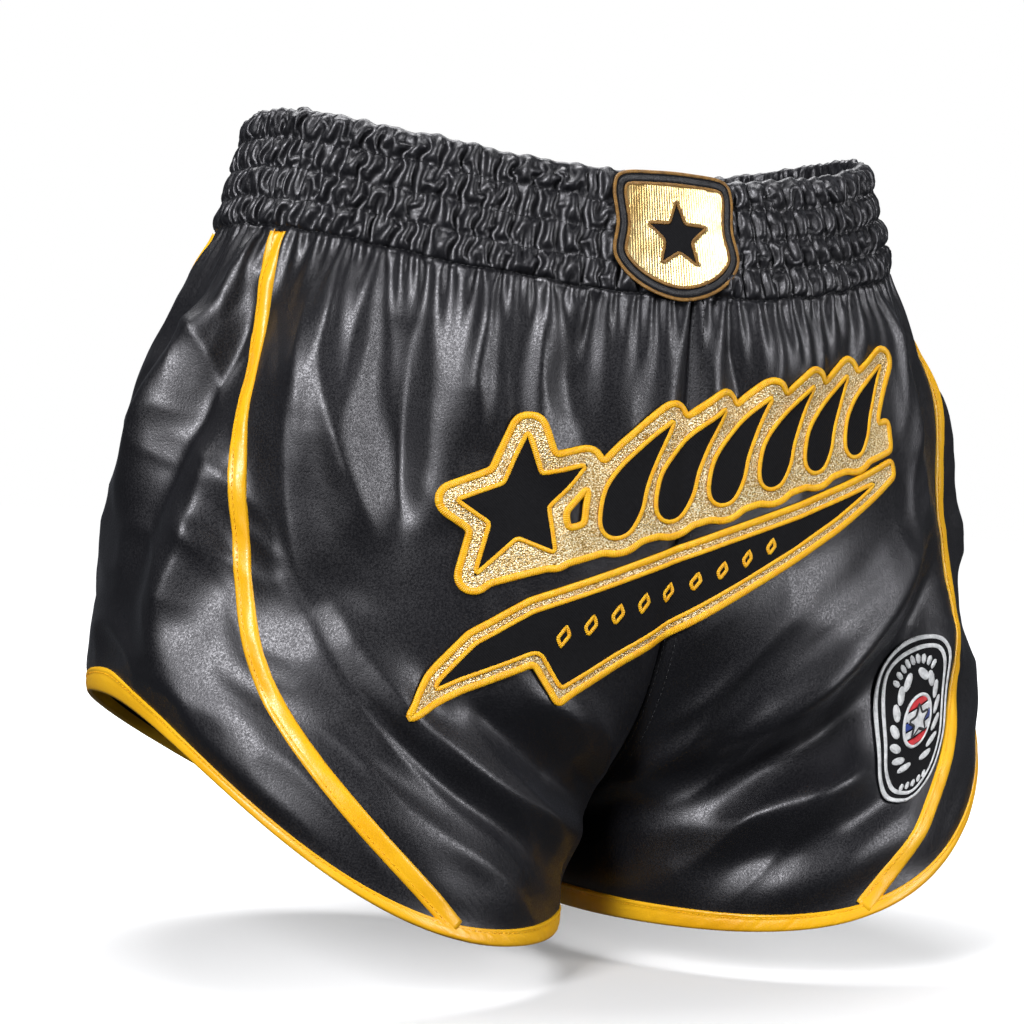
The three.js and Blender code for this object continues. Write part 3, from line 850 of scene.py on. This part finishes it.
def waist_ring(values):
    """The columns of both halves as one ring from the centre front round the wearer's right."""
    return np.concatenate([values[0], values[1, ::-1][1:-1]])[:, : WAIST + 1]


def add_waistband():
    """One tube of satin: gathered outside, folded over at the top and gathered again inside."""
    outer = waist_ring(points)
    base, normal = waist_ring(cloth.points), waist_ring(cloth.normals)
    away = ((outer - base) * normal).sum(-1)
    band, _ = shares(1)
    pucker = smooth(away[:, 4] - away[:, 4].mean(), 2, True)
    outer[..., 2] += (0.6 * pucker[:, None] - 1.0) * np.exp(-band / 4.0)
    turn = np.clip(band / 9.0, 0, 1)
    inward = np.roll(away, 5, axis=0) * turn + away * (1 - turn)
    inner = base - normal * (2.1 + inward)[..., None]
    ripple = smooth_noise((len(base), 1), (150, 1), np.random.default_rng(3))[:, 0]
    edge = []
    for share, rise in ((0.88, 0.8), (0.5, 1.35), (0.12, 0.9)):
        middle = outer[:, 0] * (1 - share) + inner[:, 0] * share
        middle[:, 2] += rise * (1 + 0.6 * ripple)
        edge.append(middle)
    loop = np.concatenate([outer, inner[:, ::-1], np.stack(edge, 1)], 1)
    faces = quads(*loop.shape[:2], True, True)
    piece = add_mesh("waistband_gathers", loop.reshape(-1, 3), faces, [SATIN])
    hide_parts("waistband_cover")


def add_elastic():
    """Four bands of elastic inside the waistband, each between two stitched lines."""
    span = BAND_HEIGHT / BAND_LINES
    turn = np.linspace(0, 1, 121)[:, None]
    for row in range(BAND_LINES):
        heights = np.linspace(row * span + ELASTIC_MARGIN, (row + 1) * span - ELASTIC_MARGIN, 5)[None]
        at = np.stack([band_point(side, turn, heights) for side in (-1, 1)])
        ring, out = waist_ring(at), waist_ring(normals(at))
        section = np.concatenate([ring - out * 0.5, (ring - out * 1.5)[:, ::-1]], 1)
        piece = tube(f"elastic_row_{row + 1}_rubber", section, ELASTIC, True)
        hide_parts(f"elastic_row_{row + 1}")


def add_hem_binding(which, word):
    """Satin tape folded over the hem, and its line of stitches."""
    both = []
    for line, up in zip(points[which, :-1, :-25:-1], surface[which, :-1, :-25:-1]):
        both.append(read_at(BINDING_REACH, distances_along(line), np.hstack([line, up])))
    strip, out = np.split(np.array(both), 2, 2)
    strip = smooth(strip, 3, True)
    out = unit(smooth(unit(out), 8, True))
    pucker = smooth_noise(strip.shape[:2], (170, 3), np.random.default_rng(20 + which)) * 0.22
    lift = BINDING_LIFT + pucker
    down = unit(strip[:, -1] - strip[:, -3])
    front = strip + out * lift[..., None]
    fold = [strip[:, -1] + down * 1.3 + out[:, -1] * 0.3, strip[:, -1] + down * 1.3 - out[:, -1] * 1.0]
    back = (strip - out * (THICKNESS + 0.9))[:, ::-1]
    section = np.concatenate([front, np.stack(fold, 1), back], 1)
    piece = tube(f"hem_binding_{word}_tape", section, GOLD_TAPE, True)
    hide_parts(f"hem_binding_{word}")
    stitches(f"hem_stitches_{word}", strip[:, 3] + out[:, 3] * 0.75, out[:, 3], GOLD_THREAD,
             closed=True)


def on_cloth(spots, out, reach=18.0):
    """The cloth's own points under these spots, looking inwards along out."""
    found = []
    for spot, direction in zip(spots, out):
        hit = CLOTH_TREE.ray_cast(Vector(spot + direction * reach), Vector(-direction), 2 * reach)[0]
        found.append(spot if hit is None else np.array(hit))
    return np.array(found)


def add_piping(which, column, name, word):
    """Satin tape over a side seam, with a stitch line near one edge."""
    path = smooth(points[which, column, WAIST + 1:], 6)
    out = unit(smooth(surface[which, column, WAIST + 1:], 14))
    path, out = np.split(resample(np.hstack([path, out]), 1.8), 2, 1)
    keep = np.linalg.norm(path - points[which, column, -1], axis=-1) > 6.0  # clear of the binding's edge
    path, out = smooth(path[keep], 4), unit(smooth(out[keep], 6))
    along = unit(np.gradient(path, axis=0))
    level = unit(np.cross(out, along))
    places = np.linspace(-PIPING_WIDTH / 2, PIPING_WIDTH / 2, len(PIPING_LIFT))
    strip = smooth(np.stack([on_cloth(path + level * place, out) for place in places], 1), 3)
    rng = np.random.default_rng(30 + 2 * which + (column > F))
    lift = PIPING_LIFT + smooth_noise(strip.shape[:2], (70, 4), rng) * 0.2
    top = strip + out[:, None] * lift[..., None]
    bottom = (strip - out[:, None] * 0.35)[:, ::-1]
    section = np.concatenate([top, bottom], 1)
    piece = tube(f"{name}_{word}_tape", section, GOLD_TAPE, False)
    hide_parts(f"{name}_{word}")
    stitches(f"{name}_stitches_{word}", strip[:, 2] + out * 0.8, out, GOLD_THREAD)


def add_seam_stitches():
    """Topstitching: the waistband's rows, the centre seams and the inner leg seams."""
    ring, out = waist_ring(points), waist_ring(surface)
    for line in range(1, BAND_LINES + 1):
        row = line * WAIST // BAND_LINES
        path = smooth(ring[:, row], 1, True) + out[:, row] * 0.1
        stitches(f"band_stitches_{line}", path, out[:, row], BLACK_THREAD, pitch=2.6,
                 length=2.0, closed=True)
    crotch = WAIST + int(np.searchsorted(shares(1)[1], CROTCH_AT))
    for name, columns in (("front_seam", slice(0, 40)), ("back_seam", slice(None, -41, -1))):
        for offset, word in ((1.6, "a"), (6.2, "b")):
            both = []
            for row in range(WAIST + 1, crotch + 1):
                line, up = points[1, columns, row], surface[1, columns, row]
                both.append(read_at([offset], distances_along(line), np.hstack([line, up])))
            path, up = np.split(np.concatenate(both), 2, 1)
            path, up = smooth(path, 4), unit(smooth(up, 8))
            stitches(f"{name}_stitches_{word}", path + up * 0.15, up, BLACK_THREAD)
    for which, word in SIDES:
        for column, turn in ((3, "a"), (ALL - 4, "b")):
            path = smooth(points[which, column, crotch + 2: -5], 3)
            up = unit(smooth(surface[which, column, crotch + 2: -5], 4))
            stitches(f"inseam_stitches_{word}_{turn}", path + up * 0.15, up, BLACK_THREAD)


add_panels()
add_waistband()
add_elastic()
for which, word in SIDES:
    add_hem_binding(which, word)
    add_piping(which, F, "front_piping", word)
    add_piping(which, F + S, "back_piping", word)
add_seam_stitches()


# ---- Sewn-on layers ----
# Each layer is drawn flat, in mm, as closed outlines, and laid on a carrier that knows the surface below.
class Carrier:
    """Maps flat places [x, y] and a lift to points on the garment, from sampled points and normals."""

    def __init__(self, x, y, spots, out):
        self.x, self.y, self.spots, self.out = x, y, spots, out

    def at(self, flat, lift):
        flat = np.asarray(flat, float)
        i = np.clip((flat[:, 0] - self.x[0]) / (self.x[1] - self.x[0]), 0, len(self.x) - 1.001)
        j = np.clip((flat[:, 1] - self.y[0]) / (self.y[1] - self.y[0]), 0, len(self.y) - 1.001)
        a, b = i.astype(int), j.astype(int)
        f, g = (i - a)[:, None], (j - b)[:, None]

        def pick(grid):
            low = grid[a, b] * (1 - f) + grid[a + 1, b] * f
            high = grid[a, b + 1] * (1 - f) + grid[a + 1, b + 1] * f
            return low * (1 - g) + high * g

        return pick(self.spots) + unit(pick(self.out)) * np.reshape(lift, (-1, 1))


def front_carrier():
    """The front of the cloth, in the front view's x and z. The layers there bridge its finest wrinkles."""
    x, z = np.arange(-140.0, 141.0, 2.0), np.arange(-272.0, -76.0, 2.0)
    start = np.stack(np.meshgrid(x, [-200.0], z, indexing="ij"), -1)[:, 0]
    ahead = Vector((0, 1, 0))
    depth = np.full(start.shape[:2], np.nan)
    for i, row in enumerate(start):
        for j, spot in enumerate(row):
            hit = CLOTH_TREE.ray_cast(Vector(spot), ahead)[0]
            depth[i, j] = depth[max(0, i - 1), j] if hit is None else hit.y
    depth = np.where(np.isnan(depth), np.nanmean(depth), depth)
    even = smooth_both(np.minimum(smooth_both(depth, 4), depth), 1)
    spots = np.stack(np.broadcast_arrays(x[:, None], even, z[None, :]), -1)
    slope_x, slope_z = np.gradient(even, 2.0)
    out = np.stack([slope_x, np.full(even.shape, -1.0), slope_z], -1)
    return Carrier(x, z, spots, unit(smooth_both(out, 6)))


def band_carrier(middle, back=1.0):
    """The waistband's outside (or inside, back -1): x along it from middle, y down it."""
    x, y = np.arange(-40.0, 41.0, 2.0), np.arange(-4.0, 56.0, 2.0)
    angle = (x[:, None] + middle) / SEAM_HALF[0]
    share = y[None, :] / BAND_HEIGHT
    width = TOP_HALF[0] + (SEAM_HALF[0] - TOP_HALF[0]) * share
    depth = TOP_HALF[1] + (SEAM_HALF[1] - TOP_HALF[1]) * share
    dip = (FRONT_DIP if back > 0 else BACK_DIP) * np.cos(angle) ** 2
    spots = np.stack([width * np.sin(angle), -back * depth * np.cos(angle), -y[None, :] - dip], -1)
    out = np.stack(np.broadcast_arrays(depth * np.sin(angle), -back * width * np.cos(angle), 22.0), -1)
    return Carrier(x, y, spots, back * unit(out))


PATCH_LEAN = 0.22  # how far the leg patch leans, as a slope


def patch_carrier():
    """The cloth round the leg patch's middle: x along it and y up it, both measured over the body."""
    x, y = np.arange(-36.0, 37.0, 2.0), np.arange(-50.0, 51.0, 2.0)
    turn, drop = PATCH_AT

    def placed(values, start, line, at):
        """The values along a line at these distances from the place where the value is start."""
        length = distances_along(line)
        return np.interp(at + np.interp(start, values, length), length, values)

    steps = np.linspace(drop - 0.25, min(0.99, drop + 0.25), 120)
    drops = placed(steps, drop, body_point(1, turn, steps), -y)
    spots = []
    for row, up in zip(drops, y):
        steps = np.linspace(turn - 0.2, turn + 0.2, 120)
        spots.append(body_point(1, placed(steps, turn, body_point(1, steps, row), x - PATCH_LEAN * up), row))
    spots = smooth_both(np.stack(spots, 1), 10, 30)
    out = unit(np.cross(np.gradient(spots, axis=0), np.gradient(spots, axis=1)))
    out = unit(smooth_both(out, 20))
    cloth_spots = on_cloth(spots.reshape(-1, 3), out.reshape(-1, 3)).reshape(spots.shape)
    away = ((cloth_spots - spots) * out).sum(-1)
    even = smooth_both(np.maximum(smooth_both(away, 8), away), 1)
    return Carrier(x, y, spots + out * even[..., None], out)


def closed_spline(knots, per_span):
    """Smooth closed outline through these points."""
    k = np.asarray(knots, float)
    t = np.linspace(0, 1, per_span, endpoint=False)[None, :, None]
    a, b, c, d = (np.roll(k, n, 0)[:, None] for n in (1, 0, -1, -2))
    curve = 2 * b + (c - a) * t + (2 * a - 5 * b + 4 * c - d) * t**2 + (3 * b - a - 3 * c + d) * t**3
    return curve.reshape(-1, 2) / 2


def mirrored(half):
    """A closed outline from its points right of the upright axis, listed from the top down."""
    left = [(-x, y) for x, y in half[::-1] if x]
    return half + left


def star_outline(centre, outer, inner):
    """Five-pointed star. Negative sizes point it down."""
    turn = np.arange(10) * math.pi / 5
    size = np.where(np.arange(10) % 2 == 0, outer, inner)
    return np.stack([centre[0] + size * np.sin(turn), centre[1] + size * np.cos(turn)], -1)


def ellipse_outline(centre, width, height, tilt=0.0):
    turn = np.linspace(0, 2 * math.pi, 33)[:-1]
    x, y = width / 2 * np.cos(turn), height / 2 * np.sin(turn)
    return np.stack([centre[0] + x * math.cos(tilt) - y * math.sin(tilt),
                     centre[1] + x * math.sin(tilt) + y * math.cos(tilt)], -1)


CORD_STEP = 1.1


class Drawing:
    """Distances to outlines over a flat grid: negative inside them."""

    STEP = 1.0

    def __init__(self, low, high):
        self.x = np.arange(low[0], high[0], self.STEP)
        self.y = np.arange(low[1], high[1], self.STEP)
        self.places = np.stack(np.meshgrid(self.x, self.y, indexing="ij"), -1)

    def distance(self, *outlines):
        """Distance outside the nearest of these outlines."""
        best = np.full(self.places.shape[:2], 1e9)
        px, py = self.places[..., 0], self.places[..., 1]
        for outline in outlines:
            inside = np.zeros(px.shape, bool)
            near = np.full(px.shape, 1e9)
            for (ax, ay), (bx, by) in zip(outline, np.roll(outline, -1, 0)):
                ex, ey = bx - ax, by - ay
                t = np.clip(((px - ax) * ex + (py - ay) * ey) / max(ex * ex + ey * ey, 1e-9), 0, 1)
                near = np.minimum(near, np.hypot(px - ax - t * ex, py - ay - t * ey))
                if ay != by:
                    inside ^= ((ay > py) != (by > py)) & (px < ex * (py - ay) / (by - ay) + ax)
            best = np.minimum(best, np.where(inside, -near, near))
        return best

    def cells(self, field):
        """Faces, and the flat places of their corners, where the field's middle is negative."""
        middle = (field[:-1, :-1] + field[1:, :-1] + field[:-1, 1:] + field[1:, 1:]) / 4
        keep = (middle < 0).reshape(-1)
        faces = quads(*field.shape)[keep]
        used, faces = np.unique(faces, return_inverse=True)
        return self.places.reshape(-1, 2)[used], faces.reshape(-1, 4)

    def loops(self, field):
        """Closed lines along which the field is zero."""
        links = {}
        inside = field < 0
        mixed = inside[:-1, :-1].astype(int) + inside[1:, :-1] + inside[:-1, 1:] + inside[1:, 1:]
        for i, j in zip(*np.nonzero((mixed > 0) & (mixed < 4))):
            corners = ((i, j), (i + 1, j), (i + 1, j + 1), (i, j + 1))
            crossings = []
            for a, b in zip(corners, corners[1:] + corners[:1]):
                if inside[a] != inside[b]:
                    crossings.append((min(a, b), max(a, b)))
            for a, b in zip(crossings[::2], crossings[1::2]):
                links.setdefault(a, []).append(b)
                links.setdefault(b, []).append(a)
        found = []
        while links:
            start = next(iter(links))
            path, here = [start], start
            while links.get(here):
                ahead = links[here].pop()
                links[ahead].remove(here)
                path.append(ahead)
                here = ahead
            for key in [k for k in path if not links.get(k)]:
                links.pop(key, None)
            if len(path) > 8:
                line = []
                for a, b in path[:-1]:
                    t = field[a] / (field[a] - field[b])
                    line.append(self.places[a] * (1 - t) + self.places[b] * t)
                found.append(smooth(np.array(line), 2, True))
        return found


class Layers:
    """Sewn-on layers of one drawing, laid on one carrier."""

    def __init__(self, carrier, low, high):
        self.carrier = carrier
        self.drawing = Drawing(low, high)

    def fill(self, name, field, lift, thickness, material, replaces=None):
        """A flat layer wherever the field is negative, in place of this node."""
        flat, faces = self.drawing.cells(field)
        top, bottom = self.carrier.at(flat, lift + thickness), self.carrier.at(flat, lift)
        piece = slab(name, top, bottom, faces, [material], flat)
        if replaces:
            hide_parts(replaces)

    def lines(self, shape):
        """An outline's own line, or the lines along which a field is zero."""
        return [resample(shape, 1.0, True)] if shape.shape[1] == 2 else self.drawing.loops(shape)

    def cord(self, name, shapes, width, height, lift, material):
        """Satin stitch along these outlines or round these fields: low rounded cords."""
        points, faces, uv, count = [], [], [], 0
        for shape in shapes:
            for loop in self.lines(shape):
                line = resample(loop, CORD_STEP, True)
                ahead = unit(np.roll(line, -1, 0) - np.roll(line, 1, 0))
                ahead = unit(smooth(ahead, 1, True))
                beside = np.stack([-ahead[:, 1], ahead[:, 0]], -1)
                ring = np.stack([self.carrier.at(line + beside * (width / 2 * math.cos(turn)),
                                                 lift + height * math.sin(turn) ** 0.7)
                                 for turn in np.linspace(0, math.pi, 7)], 1)
                rows, corners = ring.shape[:2]
                points.append(ring.reshape(-1, 3))
                faces.append(quads(rows, corners, True, True) + count)
                uv.append(flat_grid(np.arange(rows) * CORD_STEP, np.arange(corners) * 0.6))
                count += rows * corners
        add_mesh(name, np.concatenate(points), np.concatenate(faces), [material], np.concatenate(uv))


CREST_START = (-104, -203)  # front-view place where the crest's base line starts
CREST_RUN, CREST_RISE = 0.985, 0.295
CREST_TILT = 0.17


def crest_place(s, t):
    """Front-view place of a point s along the crest's rising base line and t above it."""
    s, t = np.asarray(s, float), np.asarray(t, float)
    return np.stack([CREST_START[0] + CREST_RUN * s - t * math.sin(CREST_TILT),
                     CREST_START[1] + CREST_RISE * s + t * math.cos(CREST_TILT)], -1)


def divided(outline, parts):
    """The same closed outline with more points along its sides."""
    outline = np.asarray(outline, float)
    ahead = np.roll(outline, -1, 0) - outline
    share = np.linspace(0, 1, parts, endpoint=False)[None, :, None]
    return (outline[:, None] + ahead[:, None] * share).reshape(-1, 2)


FEATHERS, DIAMONDS, LEAVES = 6, 9, 7
FEATHER = [(-7, 5), (-3, 0), (4, 0), (10, 7), (14, 17), (25, 35), (26.5, 37.5), (23.5, 36.5), (8, 29),
           (-2, 21), (-6, 13)]
RIBBON = [(-120, -255), (-107, -236), (-91, -219), (-66, -205), (-30, -193), (20, -175.5), (60, -163),
          (90, -153), (121, -142), (123, -149), (84, -173), (20, -208), (-22, -231), (-51, -248),
          (-62, -231), (-92, -242)]
DIAMOND = [(0.9, 4.2), (2.7, 0.6), (-0.9, -4.2), (-2.7, -0.6)]
PLAQUE = [(8, -1), (25, 1), (29, 8), (27.5, 22), (29, 36), (18, 47), (0, 52)]
SHIELD = [(0, 42), (14, 40), (23, 33), (27, 18), (27, 0), (25, -18), (17, -33), (6, -41), (0, -42.5)]
GLITTER_MARGIN = 6.5  # mm of glitter round the crest's black shapes
RIBBON_MARGIN = 4.6
FOIL_MARGIN, LINE_MARGIN = 5.0, 2.6  # mm from the badge's edge to its foil and to its black line
BADGE_LIFT = 3.9
STRIPE = 5.0


def add_crest():
    """The front applique: a star and feathers over a swallow-tailed ribbon with a row of diamonds."""
    layers = Layers(front_carrier(), (-138, -270), (138, -76))
    feather = closed_spline(FEATHER, 6)
    star = star_outline((0, 0), 29, 13)
    star[:, 0] += 0.22 * star[:, 1]
    shapes = [crest_place(star[:, 0] + 37, star[:, 1] + 27)]
    for k in range(FEATHERS):
        size = 1.1 - 0.035 * k
        shapes.append(crest_place(77 + 25.0 * k + size * feather[:, 0], 3 + size * feather[:, 1]))
    along = np.array([14, 60, 120, 180, 226])
    low, high = crest_place(along, [1, 0, 0, 0, 0]), crest_place(along, [9, 10, 10, 10, 10])
    strip = np.concatenate([low, high[::-1]])
    black, strip, tail = (layers.drawing.distance(*outlines)
                          for outlines in (shapes, [strip], [divided(RIBBON, 6)]))
    field = smooth_both(np.minimum(black - GLITTER_MARGIN, strip - 2), 2)
    tail = smooth_both(tail, 2)
    ribbon = tail + RIBBON_MARGIN
    layers.fill("applique_crest_glitter", np.minimum(field, tail) - 0.3, 0.5, 0.6, GLITTER, "applique_crest")
    layers.fill("applique_tail_twill", np.minimum(black, ribbon) - 0.2, 1.1, 0.35, TWILL, "applique_tail")
    layers.cord("applique_outer_stitching", [field, tail], 3.2, 1.1, 0.7, GOLD_THREAD)
    layers.cord("applique_inner_stitching", [black, ribbon], 2.0, 0.75, 1.25, GOLD_THREAD)
    diamonds = []
    for k in range(DIAMONDS):
        x = -50 + 12.0 * k
        z = np.interp(x, [-50, 20, 80], [-219.5, -192, -166])
        diamonds.append(np.array(DIAMOND) * (1 - 0.03 * k) + (x, z))
    layers.cord("applique_diamonds", diamonds, 1.7, 0.5, 1.4, GOLD_THREAD)


def add_waist_badge():
    """Metallic shield badge with a star, sewn to the waistband's front."""
    layers = Layers(band_carrier(-7.0), (-36, -6), (36, 58))
    edge = layers.drawing.distance(closed_spline(mirrored(PLAQUE), 6))
    star = layers.drawing.distance(star_outline((0, 25.5), -15.5, -6.6))
    base = BADGE_LIFT
    layers.fill("waist_badge_base", edge - 0.2, base, 0.9, TWILL, "waist_badge")
    layers.fill("waist_badge_foil", np.maximum(edge + FOIL_MARGIN, -star), base + 0.9, 0.4, FOIL)
    layers.cord("waist_badge_edge", [edge], 1.6, 0.7, base + 0.5, BROWN_THREAD)
    layers.cord("waist_badge_border", [edge + FOIL_MARGIN, star], 1.5, 0.55, base + 1.0, BROWN_THREAD)
    layers.cord("waist_badge_line", [edge + LINE_MARGIN], 2.4, 0.6, base + 0.7, BLACK_THREAD)


def patch_leaves():
    """The leg patch's laurel, its arc of short bars over it and its row of bars below."""
    leaves = []
    for side in (-1, 1):
        for k in range(LEAVES):
            turn = math.radians(-62 + 22 * k)
            place = side * 16.8 * math.cos(turn), 1 + 25 * math.sin(turn)
            leaves.append(ellipse_outline(place, 3.4, 9.0, side * (turn - 0.55)))
    for k in range(-4, 5):
        turn = math.radians(90 + 11.5 * k)
        place = 18.5 * math.cos(turn), 9.5 + 24 * math.sin(turn)
        leaves.append(ellipse_outline(place, 2.0, 4.4, turn - 1.57))
    for k in range(-2, 3):
        leaves.append(ellipse_outline((3.9 * k, -33.5 + 0.6 * abs(k)), 2.2, 3.6))
    return leaves


def add_leg_patch():
    """Embroidered shield patch: laurel leaves and stripes round a star."""
    layers = Layers(patch_carrier(), (-34, -48), (34, 48))
    drawing = layers.drawing
    edge = drawing.distance(closed_spline(mirrored(SHIELD), 4))
    layers.fill("leg_patch_base", edge - 0.2, 0.5, 1.0, TWILL, "leg_patch")
    layers.cord("leg_patch_border", [edge, edge + 4.2], 2.2, 0.8, 1.2, WHITE_THREAD)
    leaves = patch_leaves()
    layers.fill("leg_patch_leaves", drawing.distance(*leaves) + 0.1, 1.4, 0.55, WHITE_THREAD)
    layers.cord("leg_patch_leaf_edges", leaves, 1.0, 0.6, 1.35, WHITE_THREAD)
    roundel = drawing.distance(ellipse_outline((0, 2), 22, 27))
    y = drawing.places[..., 1]
    high = 14.5
    for material, word in ((RED_THREAD, "red"), (WHITE_THREAD, "white"), (BLUE_THREAD, "blue"),
                           (WHITE_THREAD, "white_low"), (RED_THREAD, "red_low")):
        stripe = np.maximum(roundel, np.maximum(y - high, high - STRIPE - y))
        layers.fill(f"leg_patch_stripe_{word}", stripe, 1.4, 0.4, material)
        high -= STRIPE
    star = drawing.distance(star_outline((0, 2), 9.5, 3.9))
    layers.fill("leg_patch_star", star, 1.8, 0.5, WHITE_THREAD)
    layers.cord("leg_patch_star_edge", [star], 1.4, 0.6, 2.0, BLACK_THREAD)
    layers.cord("leg_patch_ring", [roundel], 1.8, 0.7, 1.6, WHITE_THREAD)


def add_label():
    """Blank care label inside the back of the waistband."""
    layers = Layers(band_carrier(0.0, -1.0), (-20, 8), (20, 44))
    outline = np.array([(-17, 14), (17, 14), (17, 38), (-17, 38)], float)
    layers.fill("care_label_tape", layers.drawing.distance(outline), 8.4, 0.4, LABEL, "care_label")


add_crest()
add_waist_badge()
add_leg_patch()
add_label()

# ---- Stage and light ----
FLOOR_BELOW = 0.018  # m under the part
STAGE_RADIUS, STAGE_HEIGHT = 7.0, 6.0
STAGE_SIDES = 96
AIM = Vector((0, 0, -0.18))


def add_area(name, place, size, power):
    light = bpy.data.lights.new(name, "AREA")
    light.shape = "RECTANGLE"
    light.size, light.size_y = size
    light.energy = power
    lamp = bpy.data.objects.new(name, light)
    bpy.context.collection.objects.link(lamp)
    lamp.location = place
    lamp.rotation_euler = (Vector(place) - AIM).to_track_quat("Z", "Y").to_euler()


def add_rings(name, material, rings):
    """A stage piece through level rings, of [radius, height over the floor], closed at its smallest."""
    turn = np.linspace(0, 2 * np.pi, STAGE_SIDES + 1)[:-1]
    z = CAD_BOX[0][2] - FLOOR_BELOW
    points = np.concatenate([np.stack([r * np.cos(turn), r * np.sin(turn), np.full(STAGE_SIDES, z + h)], 1)
                             for r, h in rings])
    smallest = int(np.argmin([r for r, h in rings])) * STAGE_SIDES
    mesh = bpy.data.meshes.new(name)
    mesh.from_pydata(points.tolist(), [], quads(len(rings), STAGE_SIDES, False, True).tolist()
                     + [list(range(smallest, smallest + STAGE_SIDES))])
    mesh.materials.append(material)
    piece = bpy.data.objects.new(name, mesh)
    bpy.context.collection.objects.link(piece)
    piece.visible_glossy = False
    piece.visible_diffuse = False
    piece.visible_shadow = False


def add_stage():
    """A pale floor that takes a soft shadow near the part. Its glow is painted light: weak near the part,
    which paints a dim pool round it, and turning it plain white away from it.
    """
    floor = Nodes("floor", (0.60, 0.60, 0.61), 0.9, Specular_IOR_Level=0.0)
    # Painted glow on the floor: low emission within about 0.3 m of the part's middle, a painted dimming round
    # it, rising to full white by 0.7 m.
    away = floor.add("VectorMath", {"operation": "LENGTH"}, i0=floor.place()).outputs["Value"]
    glow = floor.add("MapRange", i0=away)
    floor.set(glow, i1=0.30, i2=0.7, i3=0.10, i4=1.0)
    floor.set(floor.shader, Emission_Color=(1, 1, 1, 1), Emission_Strength=glow.outputs[0])
    add_rings("floor", floor.material, [(r, 0) for r in (0.5, 1.5, 3.0, STAGE_RADIUS)])
    wall = Nodes("backdrop", (0, 0, 0), 1.0, Specular_IOR_Level=0.0)
    wall.set(wall.shader, Emission_Color=(1, 1, 1, 1), Emission_Strength=1.0)
    add_rings("backdrop", wall.material,
              [(STAGE_RADIUS, 0), (STAGE_RADIUS, STAGE_HEIGHT), (0.5, STAGE_HEIGHT)])


add_stage()
world = bpy.context.scene.world or bpy.data.worlds.new("world")
bpy.context.scene.world = world
world.use_nodes = True
world.node_tree.nodes["Background"].inputs[0].default_value = (0.9, 0.95, 1, 1)
world.node_tree.nodes["Background"].inputs[1].default_value = 0.06
add_area("key", (-1.5, -1.2, 0.75), (0.5, 0.9), 48)
add_area("fill", (1.3, -1.6, 0.35), (0.5, 1.2), 26)
add_area("top", (0.05, 0.5, 1.5), (1.5, 1.0), 42)
add_area("rim", (1.2, 1.3, 0.8), (0.6, 1.0), 4)
bpy.context.scene.view_settings.view_transform = "Standard"
